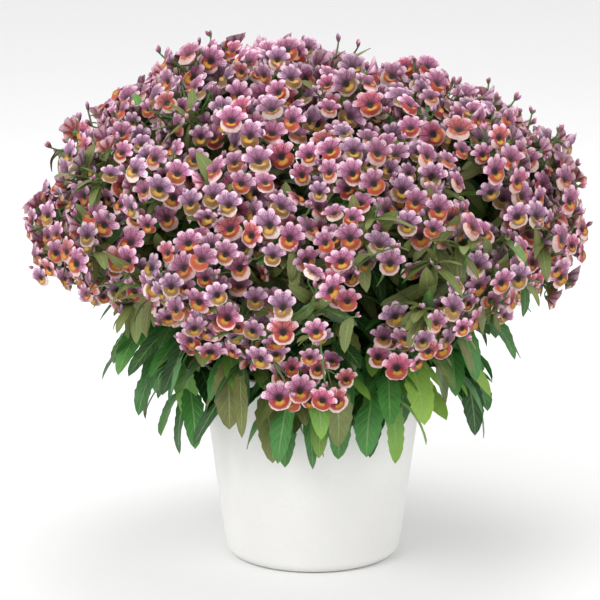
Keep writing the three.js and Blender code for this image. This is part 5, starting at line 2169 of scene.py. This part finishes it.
    def build(self) -> None:
        """Makes the flowering stems and the skirt."""
        draws = np.random.default_rng(self.seed)
        self.loosen()
        fillers = [self.extra_shoot(j) for j in range(self.extra_count)]
        fillers = [shoot for shoot in fillers if len(shoot.leaves) >= self.least_leaves]
        for k in range(self.growth.spray_count):
            place_piece(self.stem_piece(k, draws), "stem", f"stem_{k + 1}")
        for j, shoot in enumerate(self.growth.shoots):
            piece = self.shoot_piece(f"skirt_shoot_{j + 1}", shoot, self.shoot_leaf, draws)
            place_piece(piece, "leaf", f"leafy_shoot_{j + 1}")
        forms = (self.small_leaf, self.broad_leaf, self.narrow_leaf)
        for j, shoot in enumerate(fillers):
            piece = self.shoot_piece(f"filling_shoot_{j + 1}", shoot, forms[j % len(forms)], draws)
            place_piece(piece, "leaf")
        count = sum(len(shoot.leaves) for shoot in fillers)
        LOG.info("%d filling shoots carry %d leaves", len(fillers), count)


@dataclass(frozen=True)
class AreaLight:
    """A soft square light, in metres and watts."""

    name: str
    place: Triple
    size: float
    power: float


@dataclass
class Studio:
    """The floor, the surround, the lights and the camera. Distances in metres."""

    pixels: float = 600.0
    metres_per_pixel: float = 0.000745
    target: Triple = (-0.0097, 0.0, 0.1930)
    elevation: float = 13.1
    distance: float = 2.2
    sensor_width: float = 36.0
    view_depth: float = 100.0
    floor_size: float = 30.0
    floor_gap: float = 0.0002
    surround: float = 0.9
    lights: tuple[AreaLight, ...] = (
        AreaLight("key", (-1.3, -1.5, 1.7), 1.2, 26.0),
        AreaLight("fill", (1.6, -1.4, 0.9), 1.4, 8.0),
        AreaLight("top", (0.1, 0.5, 2.0), 1.2, 12.0),
    )

    def aim(self, name: str, data: bpy.types.ID, place: Vector, direction: Vector) -> bpy.types.Object:
        """Links a camera or a light.

        Args:
            name: Its name.
            data: Its camera or light data.
            place: Where it stands.
            direction: Where it looks.

        Returns:
            The object.
        """
        made = bpy.data.objects.new(name, data)
        made.location = place
        made.rotation_mode = "QUATERNION"
        made.rotation_quaternion = direction.to_track_quat("-Z", "Y")
        bpy.context.scene.collection.objects.link(made)
        return made

    def build_camera(self) -> None:
        """Sets a long lens whose frame spans the photo's width at the target."""
        data = bpy.data.cameras.new("camera")
        data.sensor_width = self.sensor_width
        data.lens = self.sensor_width * self.distance / (self.pixels * self.metres_per_pixel)
        data.clip_end = self.view_depth
        angle = math.radians(self.elevation)
        back = Vector((0.0, -math.cos(angle), math.sin(angle)))
        place = Vector(self.target) + back * self.distance
        bpy.context.scene.camera = self.aim("camera", data, place, -back)

    def build_light(self, light: AreaLight) -> None:
        """Sets one light that looks at the plant."""
        data = bpy.data.lights.new(light.name, "AREA")
        data.size = light.size
        data.energy = light.power
        self.aim(light.name, data, Vector(light.place), Vector(self.target) - Vector(light.place))

    def build_floor(self) -> None:
        """Lays the floor just under the pot."""
        half, low = self.floor_size / 2, -self.floor_gap
        corners = [(x * half, y * half, low) for x, y in ((-1, -1), (1, -1), (1, 1), (-1, 1))]
        mesh = bpy.data.meshes.new("floor")
        mesh.from_pydata(corners, [], [(0, 1, 2, 3)])
        mesh.materials.append(StudioFinish().material())
        floor = bpy.data.objects.new("floor", mesh)
        bpy.context.scene.collection.objects.link(floor)

    def build(self) -> None:
        """Sets the white surround, the floor, the lights and the camera."""
        world = bpy.data.worlds.new("surround")
        world.use_nodes = True
        background = world.node_tree.nodes["Background"]
        background.inputs["Color"].default_value = (1.0, 1.0, 1.0, 1.0)
        background.inputs["Strength"].default_value = self.surround
        bpy.context.scene.world = world
        bpy.context.scene.view_settings.view_transform = "Standard"
        self.build_floor()
        for light in self.lights:
            self.build_light(light)
        self.build_camera()


def main() -> None:
    """Builds the scene in order."""
    logging.basicConfig(level=logging.INFO, format="%(name)s %(message)s")
    Studio().build()
    growth = Growth()
    growth.grow()
    stalks, blades = StalkFinish().material(), LeafFinish().material()
    PotAndCompost(growth.pot).build()
    LeafyGrowth(growth, stalks, blades).build()
    FloweringTops(growth, PetalFinish().material(), stalks, blades).build()
    meshes = [piece.data for piece in bpy.data.objects if piece.type == "MESH"]
    for mesh in meshes:
        mesh.calc_loop_triangles()
    LOG.info("triangles in all: %d", sum(len(mesh.loop_triangles) for mesh in meshes))


if __name__ == "__main__":
    main()
